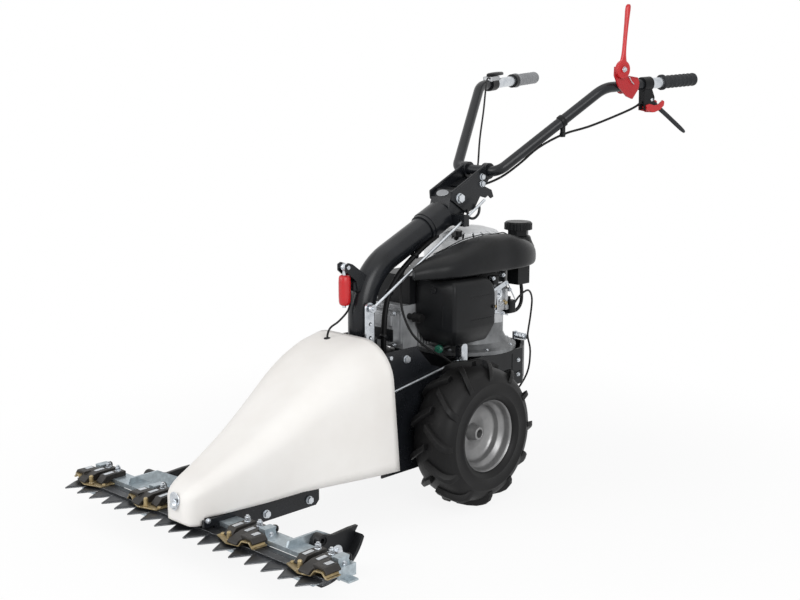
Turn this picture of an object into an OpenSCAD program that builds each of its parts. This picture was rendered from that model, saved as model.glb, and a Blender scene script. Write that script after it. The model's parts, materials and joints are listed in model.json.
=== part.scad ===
// Walk-behind sickle bar mower: two lugged wheels on a live axle, a vertical-shaft engine behind them,
// a double-knife cutter bar on skids in front, and a bent steering column with an adjustable handlebar.
// Millimetres. +X is the machine's left side, -Y its front, +Z up, ground at Z = 0.

/* [Wheels and axle] */
// Tyre diameter over the lugs
tyre_d = 354; // [344:1:364]
// Tyre width
tyre_w = 123; // [115:1:127]
// Distance between the middle planes of the tyres
track = 392; // [388:1:410]
// Height of the tyre lugs
lug_h = 13; // [8:0.5:15]
// Lugs on each half of a tread
lug_count = 12; // [10:1:14]
// Rim diameter over its flanges
rim_d = 187; // [180:1:190]
// Axle shaft diameter
axle_d = 20; // [18:1:24]
// Free space between a tyre and the chassis plate beside it
wheel_gap = 16.5; // [15:0.5:20]

/* [Cutter bar] */
// Distance from the axle forward to the knife tips
knife_reach = 755; // [745:1:765]
// Distance between two knife tips
tooth_pitch = 50.8; // [50:0.1:52]
// Length of a pointed tooth in front of the knife body
tooth_len = 40; // [35:1:44]
// Thickness of a knife section
section_t = 2.5; // [2:0.1:3]
// Width of the bar that a knife's sections are riveted to
knife_bar_w = 20; // [17:0.5:21]
// Thickness of that bar
knife_bar_t = 5; // [4:0.1:6]
// Height of the plane where the two knives shear
cut_z = 77; // [75:0.5:79]
// Width of the flat carrier beam behind the knives
beam_w = 46; // [42:1:48]
// Thickness of the carrier beam
beam_t = 10; // [8:0.5:11]
// Distance of the inner hold-down stations from the middle
inner_station = 157; // [150:1:170]
// Distance of the outer hold-down stations from the middle
outer_station = 377; // [370:1:380]
// Distance of the skids from the middle
skid_x = 290; // [285:1:295]
// Radius of the curved skid sole
skid_r = 125; // [120:1:130]
// Knife travel to each side
knife_travel = 12.6; // [10:0.1:12.7]

/* [Chassis] */
// Height above the axle of the deck that the engine stands on
deck_rise = 153; // [151:1:159]
// Thickness of the chassis plates
plate_t = 4; // [3:0.5:5]
// Distance of the carrier rails from the middle
rail_x = 60; // [58:0.5:62]
// Thickness of the carrier rails
rail_t = 8; // [6:0.5:9]
// Wall of the front cover
cover_wall = 3.5; // [3:0.1:4]
// Half the width of the cover at its rear edge
cover_half = 150; // [146:1:156]

/* [Engine] */
// Distance from the axle back to the crankshaft
crank_y = 195; // [190:1:200]
// Crankshaft diameter
crank_d = 25; // [22:0.5:28]
// Radius of the engine's base flange
flange_r = 132; // [128:1:136]
// Outer radius of the tank around the crankshaft
tank_r = 172; // [168:1:176]
// Radius of the starter cover
recoil_r = 110; // [106:1:112]
// Fuel cap diameter
cap_d = 72; // [66:1:74]

/* [Column and handlebar] */
// Column tube diameter
column_d = 64; // [60:1:65]
// Column tube wall
column_wall = 3; // [2.5:0.1:4]
// Column bend radius on the centre line
column_bend = 150; // [140:1:160]
// Rise of the upper column above the horizontal
column_rise = 24; // [22:0.5:26]
// Handlebar tube diameter
handle_d = 27; // [25:0.5:28]
// Handlebar tube wall
handle_wall = 2.5; // [2:0.1:3]
// Grip diameter
grip_d = 35; // [33:0.5:37]
// Grip length
grip_l = 128; // [120:1:130]

/* [Hidden] */
$fn = 48;

// Fits: running fits on shafts and pins, free gaps between moving pieces, seats between fixed ones
run_fit = 0.05;
gap = 0.3;
seat = 0.2;
// Steps that keep a bend from being tangent to its straight runs
seam = 0.02;
lap = 0.3;

// Directions and paths

function unit(v) = v / norm(v);

function trim_at(p, i, r) =
  let (a = unit(p[i] - p[i - 1]), b = unit(p[i + 1] - p[i]))
  r * tan(acos(a * b) / 2);

// Sets children up with their Z axis along a line from a to b
module along(a, b) {
  dir = unit(b - a);
  side = abs(dir.z) > 0.99 ? [1, 0, 0] : unit(cross([0, 0, 1], dir));
  up = cross(dir, side);
  multmatrix([
    [side.x, up.x, dir.x, a.x],
    [side.y, up.y, dir.y, a.y],
    [side.z, up.z, dir.z, a.z],
    [0, 0, 0, 1]])
    children();
}

module run(a, b, d) {
  along(a, b)
    cylinder(h = norm(b - a), d = d);
}

module elbow(before, at, after, r, d) {
  a = unit(at - before);
  b = unit(after - at);
  turn = acos(a * b);
  n = unit(cross(a, b));
  start = at - a * r * tan(turn / 2);
  c = start + r * cross(n, a);
  u = unit(start - c);
  multmatrix([
    [u.x, a.x, n.x, c.x],
    [u.y, a.y, n.y, c.y],
    [u.z, a.z, n.z, c.z],
    [0, 0, 0, 1]])
    rotate_extrude(angle = turn)
      translate([r, 0])
        circle(d = d);
}

// Round bar along corner points p, with a bend radius at each inner corner
module bar_path(p, r, d) {
  last = len(p) - 1;
  for (i = [0 : last - 1]) {
    dir = unit(p[i + 1] - p[i]);
    a = i == 0 ? p[i] : p[i] + dir * (trim_at(p, i, r[i]) - lap);
    b = i == last - 1 ? p[i + 1] : p[i + 1] - dir * (trim_at(p, i + 1, r[i + 1]) - lap);
    run(a, b, d);
  }
  for (i = [1 : last - 1])
    elbow(p[i - 1], p[i], p[i + 1], r[i], d - 2 * seam);
}

// Cables and hoses: a smooth curve through hand-set points, swept as one tube

function blend_point(a, b, c, d, t) =
  0.5 * (2 * b + (c - a) * t + (2 * a - 5 * b + 4 * c - d) * t * t + (3 * b - a - 3 * c + d) * t * t * t);

function curve(p, steps) =
  let (n = len(p) - 1)
  [for (i = [0 : n - 1], k = [0 : steps - 1])
    blend_point(p[max(i - 1, 0)], p[i], p[i + 1], p[min(i + 2, n)], k / steps), p[n]];

function heading(p, i) = unit(p[min(i + 1, len(p) - 1)] - p[max(i - 1, 0)]);

// Solid through closed rings of points, each turning counter-clockwise about the way the rings run
module loft(rings) {
  n = len(rings);
  m = len(rings[0]);
  walls = [for (i = [0 : n - 2], k = [0 : m - 1])
    let (a = i * m + k, b = i * m + (k + 1) % m)
    each [[a, a + m, b], [b, a + m, b + m]]];
  first = [for (k = [1 : m - 2]) [0, k, k + 1]];
  end = (n - 1) * m;
  last = [for (k = [1 : m - 2]) [end, end + k + 1, end + k]];
  polyhedron([for (r = rings) each r], concat(walls, first, last));
}

module sweep(p, d, sides) {
  loft([for (i = [0 : len(p) - 1])
    let (dir = heading(p, i), side = unit(cross(dir, [0.9, 0.1, 0.3])), up = cross(dir, side))
    [for (k = [0 : sides - 1])
      p[i] + d / 2 * (cos(360 * k / sides) * side + sin(360 * k / sides) * up)]]);
}

// Small shapes

// Rectangle with round corners, centred
module soft_rect(w, h, r) {
  square([w - 2 * r, h], center = true);
  square([w, h - 2 * r], center = true);
  for (x = [-1, 1], y = [-1, 1])
    translate([x * (w / 2 - r), y * (h / 2 - r)])
      circle(r = r);
}

// Plate cut in the YZ plane, from x = 0 to t
module yz_plate(points, t) {
  rotate([90, 0, 90])
    linear_extrude(t)
      polygon(points);
}

// Shaft along X, centred on the origin
module cross_pin(d, l) {
  rotate([0, 90, 0])
    cylinder(h = l, d = d, center = true);
}

// Hexagon head on a washer, seated at z = 0 and standing up
module bolt_head(d) {
  cylinder(h = 0.2 * d, d = 2.1 * d);
  translate([0, 0, 0.2 * d])
    cylinder(h = 0.65 * d, d = 1.85 * d, $fn = 6);
}

module both_sides() {
  children();
  mirror([1, 0, 0])
    children();
}

// Derived places

axle_z = tyre_d / 2;
deck_z = axle_z + deck_rise;
wheel_x = track / 2;
tyre_in = wheel_x - tyre_w / 2;
plate_out = tyre_in - wheel_gap;
plate_in = plate_out - plate_t;

// Wheels
bead_r = rim_d / 2 - 6;
carcass_r = tyre_d / 2 - lug_h;
tyre_corner = 0.366 * (carcass_r - bead_r);
lug_w = 17;
lug_lean = 38;
rim_half = 54;
hub_r = 21;
hub_out = 24;
hub_in = 58;
axle_recess = 22;
boss_r = 35;

// Knives and bar
half_row = 8;
tip_y = -knife_reach;
valley_y = tip_y + tooth_len;
section_back = 30;
back_y = valley_y + section_back;
knife_gap = gap / 2;
bar_front = back_y - 2 - knife_bar_w;
low_section_z = cut_z - knife_gap - section_t;
low_bar_z = low_section_z - knife_bar_t;
up_section_z = cut_z + knife_gap;
up_bar_z = up_section_z + section_t;
up_top = up_bar_z + knife_bar_t;
beam_y = back_y + 17;
beam_back = beam_y + beam_w;
beam_z = cut_z + 7;
beam_top = beam_z + beam_t;
beam_in = 46;
beam_out = outer_station + 53;
guide_t = 7;
guide_top = low_bar_z - gap;
station_w = 60;
stations = [inner_station, outer_station];

// Rocker that moves the two knives
rocker_y = beam_y + 28;
rocker_pin_r = 34;
rocker_pin_d = 12;
rocker_r = 42;
rocker_t = 8;
rocker_z = beam_top - 2;
slot_free = 0.6;
pivot_d = 14;
bridge_z = rocker_z + rocker_t + 4;
bridge_t = 6;

// Rails and cover
rail_out = rail_x + rail_t / 2;
rail_in = rail_x - rail_t / 2;
rail_top = cut_z + 28;
rail_front = valley_y + 6;
front_plate_y = -232;
drive_z = 150;
drive_d = 60;
nose_bolt_z = 133;
nose_y = tip_y + 20;

// Skids
skid_y = beam_back + 22;
sole_t = 8;
sole_w = 56;
flat_cut = 1.5;
web_t = 12;
skid_bolt_y = skid_y + 54;
skid_bolt_z = 55;
skid_bolt_d = 10;
skid_down = 25;
skid_up = 5;
arm_t = 6;

// Engine
crankcase_r = 98;
crankcase_top = deck_z + 110;
housing_floor = axle_z + 59;
housing_half = plate_out + 8;
housing_back = crank_y + 155;
shroud_r = 108;
tank_z = deck_z + 219;
neck_r = 20;
cap_x = (recoil_r + 4 + neck_r) * cos(45);
cap_y = crank_y + cap_x;
cap_z = tank_z + 86;
box_in = 46;
box_out = 176;
box_front = -46;
box_back = 108;
box_low = deck_z + 55;
box_top = tank_z - 4;
cyl_z = deck_z + 95;

// Column, in the plane x = 0
column_y = -182;
column_low = deck_z - 68;
column_corner_z = deck_z + 226;
column_end_y = 96;
corner = [0, column_y, column_corner_z];
column_dir = [0, cos(column_rise), sin(column_rise)];
column_end = corner + column_dir * (column_end_y - column_y) / cos(column_rise);
socket_d = column_d + 12;
head_half = column_d / 2;
tilt_y = column_end_y + 28;
tilt_z = column_end.z + 43.2;
tilt_d = 12;
cheek_in = head_half + 1;
cheek_t = 5;
cheek_out = cheek_in + cheek_t;

// Handlebar: the cross run in the clamps, the rising arms and the straight grip ends
cross_y = tilt_y + 112;
cross_z = tilt_z + 61;
arm_low = [70, cross_y, cross_z];
arm_top = [209, cross_y + 252, cross_z + 208];
handle_end = [272, cross_y + 574, cross_z + 227];
arm_bend = 36;
top_bend = 80;
clamp_x = 34;
clamp_w = 16;
clamp_d = handle_d + 14;
grip_dir = unit(handle_end - arm_top);
grip_out = unit([grip_dir.y, -grip_dir.x, 0]);
grip_up = cross(grip_out, grip_dir);
grip_end_s = norm(handle_end - arm_top);
grip_start_s = grip_end_s - grip_l + 5;

// Places measured along the straight end of the left handlebar arm: out, along, up
red_s = 41;
red_up = 48;
clutch_s = 160;
clutch_up = -42;
latch_s = 146;
latch_up = -60;
throttle_s = 62;
throttle_up = 22;

// All pieces move along Y so that the origin lies under the middle of the whole machine
grip_tip_y = handle_end.y + 5 * grip_dir.y + (grip_d / 2 - 4) * sqrt(1 - grip_dir.y * grip_dir.y);
frame_shift = -(grip_tip_y + tip_y) / 2;

// Linkages
strap_x = 49;
strap_y = -205;
strap_z = deck_z + 52;
strap_l = 109;
strap_w = 26;
strap_t = 5;
rod_d = 7;
rod_x = strap_x + strap_t + 8;
guide_point = [63, tilt_y - 12, tilt_z - 53];
lever_y = 42;
lever_z = axle_z + 188;
link_x = plate_out + 10;
link_drop = 26;

rod_back = [link_x - 5.5, lever_y, lever_z - link_drop];
rod_front = [link_x - 5.5, front_plate_y - 6, lever_z - link_drop - 46];

// Height of the thin rod at a place along Y
function rod_z(y) = rod_back.z + (rod_front.z - rod_back.z) * (y - rod_back.y) / (rod_front.y - rod_back.y);

// Coil on the throttle cable's anchor
coil_r = 8;
coil_wire = 2.6;
coil_l = 30;
coil_x = 52;
coil_y = housing_back - 5;
coil_z = deck_z + 11.5;

// Column lever
grip_y = column_y - column_d / 2 - 22;
pull_z = column_corner_z + 30;

// Wheels

module at_axle() {
  translate([0, 0, axle_z])
    rotate([0, 90, 0])
      children();
}

module axle_shaft() {
  color("silver")
    at_axle()
      cylinder(h = 2 * (wheel_x + hub_out - axle_recess), d = axle_d, center = true);
}

module tyre_section(r_out, w, corner) {
  translate([(bead_r + r_out) / 2, 0])
    soft_rect(r_out - bead_r, w, corner);
}

module tyre_lugs() {
  root = 8;
  intersection() {
    rotate_extrude()
      tyre_section(tyre_d / 2, tyre_w - 1, tyre_corner - 4);
    for (half = [0, 1], k = [0 : lug_count - 1])
      rotate(360 * (k + half / 2) / lug_count)
        mirror([0, 0, half])
          translate([carcass_r - root, 0, -5])
            rotate([lug_lean, 0, 0])
              translate([0, -lug_w / 2, 0])
                cube([lug_h + 2 * root, lug_w, tyre_w]);
  }
}

module tyre() {
  wall = 10;
  bead_w = 58;
  difference() {
    union() {
      rotate_extrude()
        tyre_section(carcass_r, tyre_w, tyre_corner);
      tyre_lugs();
    }
    rotate_extrude()
      translate([(bead_r + carcass_r) / 2, 0])
        soft_rect(carcass_r - bead_r - 2 * wall, tyre_w - 2 * wall, tyre_corner - wall);
    rotate_extrude()
      translate([bead_r - 1, -bead_w / 2])
        square([wall + 3, bead_w]);
  }
}

module tyres() {
  color("#1c1c1c")
    both_sides()
      translate([wheel_x, 0, 0])
        at_axle()
          tyre();
}

module rims() {
  flange = rim_d / 2;
  seat_r = bead_r - 0.5;
  well_r = seat_r - 13;
  t = 3;
  disc_x = 4;
  color("#9a9a9a")
    both_sides()
      translate([wheel_x, 0, 0])
        at_axle()
          rotate_extrude()
            polygon([
              [flange, rim_half], [flange, rim_half - t], [seat_r, rim_half - 6],
              [seat_r - 1, 28], [well_r, 20], [well_r, -20], [seat_r - 1, -28],
              [seat_r, 6 - rim_half], [flange, t - rim_half], [flange, -rim_half],
              [flange - t, -rim_half], [seat_r - t, 8 - rim_half], [seat_r - t - 1, -29],
              [well_r - t, -21], [well_r - t, disc_x - 2], [46, disc_x - 12], [hub_r, disc_x - 12],
              [hub_r - 5, -hub_in], [axle_d / 2 + run_fit, -hub_in],
              [axle_d / 2 + run_fit, hub_out], [hub_r - 5, hub_out], [hub_r, disc_x - 8],
              [48, disc_x - 8], [well_r - t - 2, disc_x + 3], [well_r - t, 21],
              [seat_r - t - 1, 29], [seat_r - t, rim_half - 7], [flange - t, rim_half]]);
}

// Chassis and drive

module gearbox_housing() {
  case_r = 82;
  case_half = 66;
  color("#202224")
    difference() {
      union() {
        at_axle()
          cylinder(r = case_r, h = 2 * case_half, center = true);
        translate([-case_half, -62, axle_z])
          cube([2 * case_half, 210, housing_floor - axle_z]);
        at_axle()
          cylinder(r = boss_r, h = 2 * plate_out + 4, center = true);
        for (x = [-44, 0, 44])
          translate([x - 3, -70, axle_z - 60])
            cube([6, 200, 90]);
      }
      at_axle()
        cylinder(d = axle_d + 2 * run_fit, h = 4 * plate_out, center = true);
    }
}

module side_plate() {
  top = deck_z + 65;
  translate([plate_in, 0, 0])
    difference() {
      yz_plate([
        [front_plate_y, 96], [-40, 96], [48, axle_z - 30], [58, axle_z + 40], [58, deck_z - 30],
        [-30, deck_z], [-62, deck_z + 10], [-116, top], [-214, top], [front_plate_y, top - 18]],
        plate_t);
      translate([0, 0, axle_z])
        cross_pin(2 * boss_r + 2 * gap, 6 * plate_t);
    }
}

// Lug for the short lever and eye for its rod, on the left plate
module lever_lug() {
  eye_y = front_plate_y + 14;
  difference() {
    union() {
      translate([plate_in, 0, 0])
        yz_plate([
          [lever_y - 16, deck_z - 40], [lever_y + 16, deck_z - 40], [lever_y + 12, lever_z + 12],
          [lever_y - 12, lever_z + 12]],
          plate_t);
      translate([plate_in, eye_y, rod_z(eye_y) - 12])
        cube([link_x - plate_in + 4, 6, 24]);
    }
    translate([link_x, lever_y, lever_z])
      cross_pin(10 + 2 * run_fit, 8 * plate_t);
    translate([rod_back.x, eye_y, rod_z(eye_y + 3)])
      cube([9, 30, 14], center = true);
  }
}

module chassis_plates() {
  color("#17181a") {
    difference() {
      union() {
        both_sides()
          side_plate();
        lever_lug();
        translate([-plate_in, front_plate_y, 104])
          cube([2 * plate_in, plate_t, deck_z - 40]);
        translate([-plate_in, front_plate_y + plate_t, deck_z - 8])
          cube([2 * plate_in, 126, 6]);
      }
      translate([0, column_y, deck_z])
        cylinder(h = 60, d = socket_d + 2 * seat, center = true);
      translate([plate_out, strap_y, strap_z])
        cross_pin(10 + 2 * run_fit, 4 * plate_t);
    }
  }
}

module housing_plan(inset) {
  half = housing_half - inset;
  front = 62 + inset;
  back = housing_back - inset;
  polygon([
    [half, front], [half, back - 72], [half - 52, back], [52 - half, back],
    [-half, back - 72], [-half, front]]);
}

module clutch_housing() {
  wall = 6;
  floor_t = 8;
  color("#222426")
    difference() {
      translate([0, 0, housing_floor])
        linear_extrude(deck_z - housing_floor)
          housing_plan(0);
      translate([0, 0, housing_floor + floor_t])
        linear_extrude(deck_z)
          housing_plan(wall);
      translate([0, crank_y, housing_floor])
        cylinder(h = 60, d = crank_d + 2 * run_fit, center = true);
      for (x = [-1, 1]) {
        translate([x * housing_half, crank_y + 40, deck_z - 35])
          cube([4, 3, 50], center = true);
        translate([x * housing_half, crank_y + 40, deck_z - 60])
          cube([4, 70, 3], center = true);
      }
    }
}

module crankshaft() {
  drum_r = 82;
  low = housing_floor + 2;
  color("silver")
    translate([0, crank_y, 0])
      rotate_extrude()
        polygon([
          [0, low], [crank_d / 2, low], [crank_d / 2, low + 20], [drum_r, low + 20],
          [drum_r, low + 62], [drum_r - 8, low + 62], [drum_r - 8, low + 30],
          [crank_d / 2, low + 30], [crank_d / 2, crankcase_top + 60], [0, crankcase_top + 60]]);
}

module flywheel() {
  disc_r = 92;
  low = crankcase_top + 14;
  color("#8c8f92")
    translate([0, crank_y, low])
      difference() {
        union() {
          cylinder(h = 14, r = disc_r);
          for (k = [0 : 11])
            rotate(30 * k)
              translate([52, -2, 14])
                cube([36, 4, 34]);
          cylinder(h = 40, r = 26);
        }
        cylinder(h = 200, d = crank_d + 2 * run_fit, center = true);
      }
}

// Engine

module crankcase() {
  inner_r = crankcase_r - 16;
  bore = crank_d / 2 + run_fit;
  color("#b4b6b8")
    translate([0, crank_y, 0])
      rotate_extrude()
        polygon([
          [bore, deck_z], [flange_r, deck_z], [flange_r, deck_z + 9], [flange_r - 14, deck_z + 14],
          [crankcase_r + 8, deck_z + 24], [crankcase_r, deck_z + 40], [crankcase_r, crankcase_top],
          [bore, crankcase_top], [bore, crankcase_top - 14], [inner_r, crankcase_top - 14],
          [inner_r, deck_z + 22], [bore, deck_z + 22]]);
}

module cylinder_block() {
  fin = 4;
  fin_step = 10;
  front = -40;
  back = crank_y - 60;
  half_h = 53;
  color("#a9abad")
    difference() {
      union() {
        translate([-32, front, cyl_z - 39])
          cube([64, back - front, 78]);
        for (k = [0 : 12])
          translate([-box_in, front + k * fin_step, cyl_z - half_h])
            cube([2 * box_in, fin, 2 * half_h]);
        translate([-box_in, -86, cyl_z - half_h])
          cube([2 * box_in, 46 + fin, 2 * half_h]);
      }
      translate([0, crank_y, 0])
        cylinder(r = crankcase_r + seat, h = 2 * tank_z);
      translate([0, crank_y, crankcase_top - 1])
        cylinder(r = shroud_r + seat, h = tank_z);
    }
}

module valve_cover() {
  color("#c2c3c4")
    translate([0, -86, cyl_z])
      rotate([90, 0, 0]) {
        linear_extrude(6)
          soft_rect(88, 92, 12);
        translate([0, 0, 6])
          linear_extrude(22)
            soft_rect(76, 80, 14);
      }
}

module fan_shroud() {
  wall = 3;
  top = tank_z - seat;
  hood_y = -62;
  color("#1b1c1e")
    difference() {
      union() {
        translate([0, crank_y, crankcase_top + seat])
          cylinder(r = shroud_r, h = top - crankcase_top - seat);
        translate([0, crank_y, top - 3])
          cylinder(r = tank_r - 24, h = 3);
        translate([-64, hood_y, cyl_z + 54])
          cube([64 + box_in - 1, crank_y - hood_y, top - cyl_z - 54]);
      }
      translate([0, crank_y, crankcase_top + wall + seat])
        cylinder(r = shroud_r - wall, h = top - crankcase_top - 2 * wall - seat);
      translate([0, crank_y, crankcase_top - 1])
        cylinder(r = 70, h = 20);
      translate([0, crank_y, top - 20])
        cylinder(r = 96, h = 40);
      translate([-64 + wall, hood_y + wall, cyl_z + 50])
        cube([64 + box_in - 1 - 2 * wall, crank_y - hood_y - 2 * wall, top - cyl_z - 50 - wall]);
    }
}

// The tank wraps around the starter cover and runs forward beside the column.
// Each station: inner wall point, outer wall point, height of the crest
well_r = recoil_r + 3;
tank_stations = concat(
  [for (a = [125 : -15 : -10])
    let (far = tank_r + 12 * max(0, 1 - abs(a - 45) / 50))
    [[well_r * cos(a), crank_y + well_r * sin(a)], [far * cos(a), crank_y + far * sin(a)],
    91 - 0.12 * max(0, 30 - a) - 0.82 * min(38, max(0, a - 4)) - 0.26 * max(0, a - 45)]],
  [[[well_r * 0.92, crank_y - 58], [tank_r, crank_y - 66], 88], [[90, 80], [tank_r, 62], 80],
  [[80, 26], [tank_r - 4, 0], 62], [[77, -14], [152, -46], 50], [[80, -42], [126, -62], 36]]);
tank_shape = [
  [0, 0], [0.86, 0], [0.97, 0.05], [1, 0.18], [1, 0.42], [0.975, 0.57], [0.92, 0.7], [0.82, 0.82],
  [0.66, 0.92], [0.45, 0.98], [0.22, 1], [0, 1]];

// Rings of the tank, drawn in by a given amount on every side
function tank_rings(inset) =
  let (n = len(tank_stations) - 1)
  [for (i = [0 : n])
    let (s = tank_stations[i], reach = unit(s[1] - s[0]), a = s[0] + reach * inset, b = s[1] - reach * inset,
      tall = s[2] - 2 * inset, ahead = [-reach.y, reach.x] * (i == 0 ? -inset : i == n ? inset : 0))
    [for (q = tank_shape)
      let (at = a + (b - a) * q.x + ahead)
      [at.x, at.y, tank_z + inset + tall * q.y]]];

module fuel_tank() {
  wall = 4;
  color("#1a1b1d")
    difference() {
      union() {
        difference() {
          loft(tank_rings(0));
          loft(tank_rings(wall));
        }
        translate([cap_x, cap_y, cap_z - 34])
          cylinder(r = neck_r, h = 38);
      }
      translate([cap_x, cap_y, cap_z - 40])
        cylinder(r = neck_r - 4, h = 80);
    }
}

module recoil_profile(inset) {
  low = tank_z;
  polygon([
    [0, low], [recoil_r - inset, low], [recoil_r - 2 - inset, low + 40], [recoil_r - 12 - inset, low + 66],
    [recoil_r - 32 - inset, low + 84 - inset], [recoil_r - 60, low + 92 - inset], [0, low + 96 - inset]]);
}

module recoil_cover() {
  slots = 20;
  color("#b9bbbd")
    translate([0, crank_y, 0])
      difference() {
        rotate_extrude()
          recoil_profile(0);
        translate([0, 0, -1])
          rotate_extrude()
            recoil_profile(4);
        for (k = [0 : slots - 1])
          rotate(360 * k / slots)
            translate([recoil_r - 44, -2.5, tank_z + 50])
              cube([24, 5, 60]);
      }
}

module starter_grip() {
  color("#151515")
    difference() {
      translate([38, crank_y - 80, tank_z + 80])
        rotate(-28) {
          linear_extrude(15)
            soft_rect(48, 17, 8);
          translate([0, 0, -16])
            cylinder(h = 17, d = 12);
        }
      translate([0, crank_y, 0])
        rotate_extrude()
          recoil_profile(-0.15);
    }
}

module fuel_cap() {
  lobes = 24;
  skirt = 20;
  color("#131313")
    translate([cap_x, cap_y, cap_z])
      difference() {
        union() {
          cylinder(h = skirt - 4, d = cap_d);
          translate([0, 0, skirt - 4])
            cylinder(h = 4, d1 = cap_d, d2 = cap_d - 8);
          translate([0, 0, -16])
            cylinder(h = 17, r = neck_r + 8, $fn = 6);
        }
        for (k = [0 : lobes - 1])
          rotate(360 * k / lobes)
            translate([cap_d / 2 + 1.5, 0, 0])
              cylinder(h = 3 * skirt, r = 3, center = true, $fn = 24);
        translate([0, 0, -24])
          cylinder(h = 32, r = neck_r + gap);
      }
}

module air_filter_box() {
  w = box_out - box_in;
  l = box_back - box_front;
  h = box_top - box_low;
  wall = 3;
  slope = 34;
  color("#18191a")
    translate([(box_in + box_out) / 2, (box_front + box_back) / 2, box_low])
      difference() {
        linear_extrude(h)
          soft_rect(w, l, 22);
        translate([w / 2 - slope, 0, 0])
          rotate([0, 45, 0])
            translate([0, -l, -2 * slope])
              cube([4 * slope, 2 * l, 2 * slope]);
        translate([0, 0, slope])
          linear_extrude(h - slope - wall)
            soft_rect(w - 2 * wall, l - 2 * wall, 22 - wall);
        translate([w / 2, 0, h * 0.55])
          cube([3, l - 52, 2.5], center = true);
        translate([-(box_in + box_out) / 2, crank_y - (box_front + box_back) / 2, -1])
          cylinder(r = shroud_r + 1, h = 2 * h);
      }
}

module carburettor() {
  x = 140;
  z = deck_z + 150;
  color("#c8cacc")
    difference() {
      union() {
        translate([x, box_back, z])
          rotate([-90, 0, 0])
            cylinder(h = 66, d = 38);
        translate([x - 24, box_back + 8, z - 24])
          cube([48, 10, 48]);
        translate([x - 24, box_back + 50, z - 24])
          cube([48, 8, 48]);
        translate([x, box_back + 34, z - 58])
          cylinder(h = 48, d = 44);
        translate([x, box_back + 34, z + 10])
          cylinder(h = 30, d = 10);
        translate([x - 16, box_back + 24, z + 40])
          cube([34, 20, 3]);
        translate([x + 6, box_back + 56, z - 30])
          cube([14, 36, 10]);
        translate([x - 32, box_back + 30, z - 10])
          cube([12, 30, 30]);
      }
      translate([x, box_back, z])
        rotate([-90, 0, 0])
          cylinder(h = 300, d = 24, center = true);
    }
}

module fuel_tap() {
  x = 120;
  color("#161616")
    translate([x - 18, crank_y + 44, tank_z - 48.4])
      difference() {
        cube([36, 46, 45]);
        translate([18, 34, -1])
          cylinder(h = 10, d = 6);
      }
}

module muffler() {
  w = 92;
  l = 150;
  h = 100;
  color("#3a3a3a")
    translate([-box_in - w / 2, 22, cyl_z])
      difference() {
        union() {
          rotate([90, 0, 0])
            linear_extrude(l, center = true)
              soft_rect(w, h, 26);
          for (y = [-l / 2, l / 2 - 4])
            translate([0, y + 4, 0])
              rotate([90, 0, 0])
                linear_extrude(4)
                  soft_rect(w, h + 6, 28);
        }
        rotate([90, 0, 0])
          linear_extrude(l - 8, center = true)
            soft_rect(w - 6, h - 6, 23);
        for (k = [-4 : 4])
          translate([-w / 2, 13 * k, 0])
            cube([8, 5, 50], center = true);
      }
}

module spark_plug() {
  color("#141414")
    translate([box_in, -66, cyl_z + 26])
      rotate([0, 90, 0]) {
        cylinder(h = 26, d = 15);
        translate([0, 0, 18])
          cylinder(h = 26, d1 = 24, d2 = 20);
      }
}

module dipstick() {
  top = [104, 4, deck_z + 30];
  foot = [62, crank_y - 84, deck_z + 36];
  color("#1f6b4f") {
    difference() {
      run(foot, top, 16);
      translate([0, crank_y, 0])
        cylinder(r = crankcase_r + seat, h = 2 * tank_z);
    }
    along(foot, top)
      translate([0, 0, norm(top - foot)])
        cylinder(h = 14, d = 30, $fn = 10);
  }
}

// Column and handlebar

module column_tube() {
  path = [[0, column_y, column_low], corner, column_end];
  color("#141517")
    difference() {
      bar_path(path, [0, column_bend, 0], column_d);
      bar_path(path, [0, column_bend, 0], column_d - 2 * column_wall);
    }
}

module column_socket() {
  low = column_low - 12;
  color("#17181a")
    translate([0, column_y, 0])
      difference() {
        union() {
          translate([0, 0, low])
            cylinder(h = deck_z + 78 - low, d = socket_d);
          translate([0, 0, deck_z - 2])
            cylinder(h = 8, d = socket_d + 14);
        }
        translate([0, 0, column_low])
          cylinder(h = deck_z, d = column_d + 2 * run_fit);
      }
}

// Children lie on the upper column: origin at its end, Z along it, X to the left
module on_column() {
  translate(column_end)
    rotate([column_rise - 90, 0, 0])
      mirror([0, 1, 0])
        children();
}

// Ears on the column's front that carry the red-gripped lever
module pull_ears() {
  ear_in = 11;
  difference() {
    union() {
      for (x = [-ear_in - 4, ear_in])
        translate([x, 0, 0])
          yz_plate([
            [grip_y - 9, pull_z - 8], [grip_y - 9, pull_z + 7], [grip_y, pull_z + 11],
            [grip_y + 12, pull_z + 7], [column_y + 6, pull_z - 26], [column_y + 6, pull_z - 62],
            [column_y - 24, pull_z - 60], [grip_y + 24, pull_z - 34]],
            4);
      translate([-ear_in - 1, column_y - 36, pull_z - 58])
        cube([2 * ear_in + 2, 36, 20]);
    }
    bar_path([[0, column_y, column_low], corner, column_end], [0, column_bend, 0], column_d + 2 * run_fit);
    translate([0, grip_y, pull_z])
      cross_pin(10 + 2 * run_fit, 60);
  }
}

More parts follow.
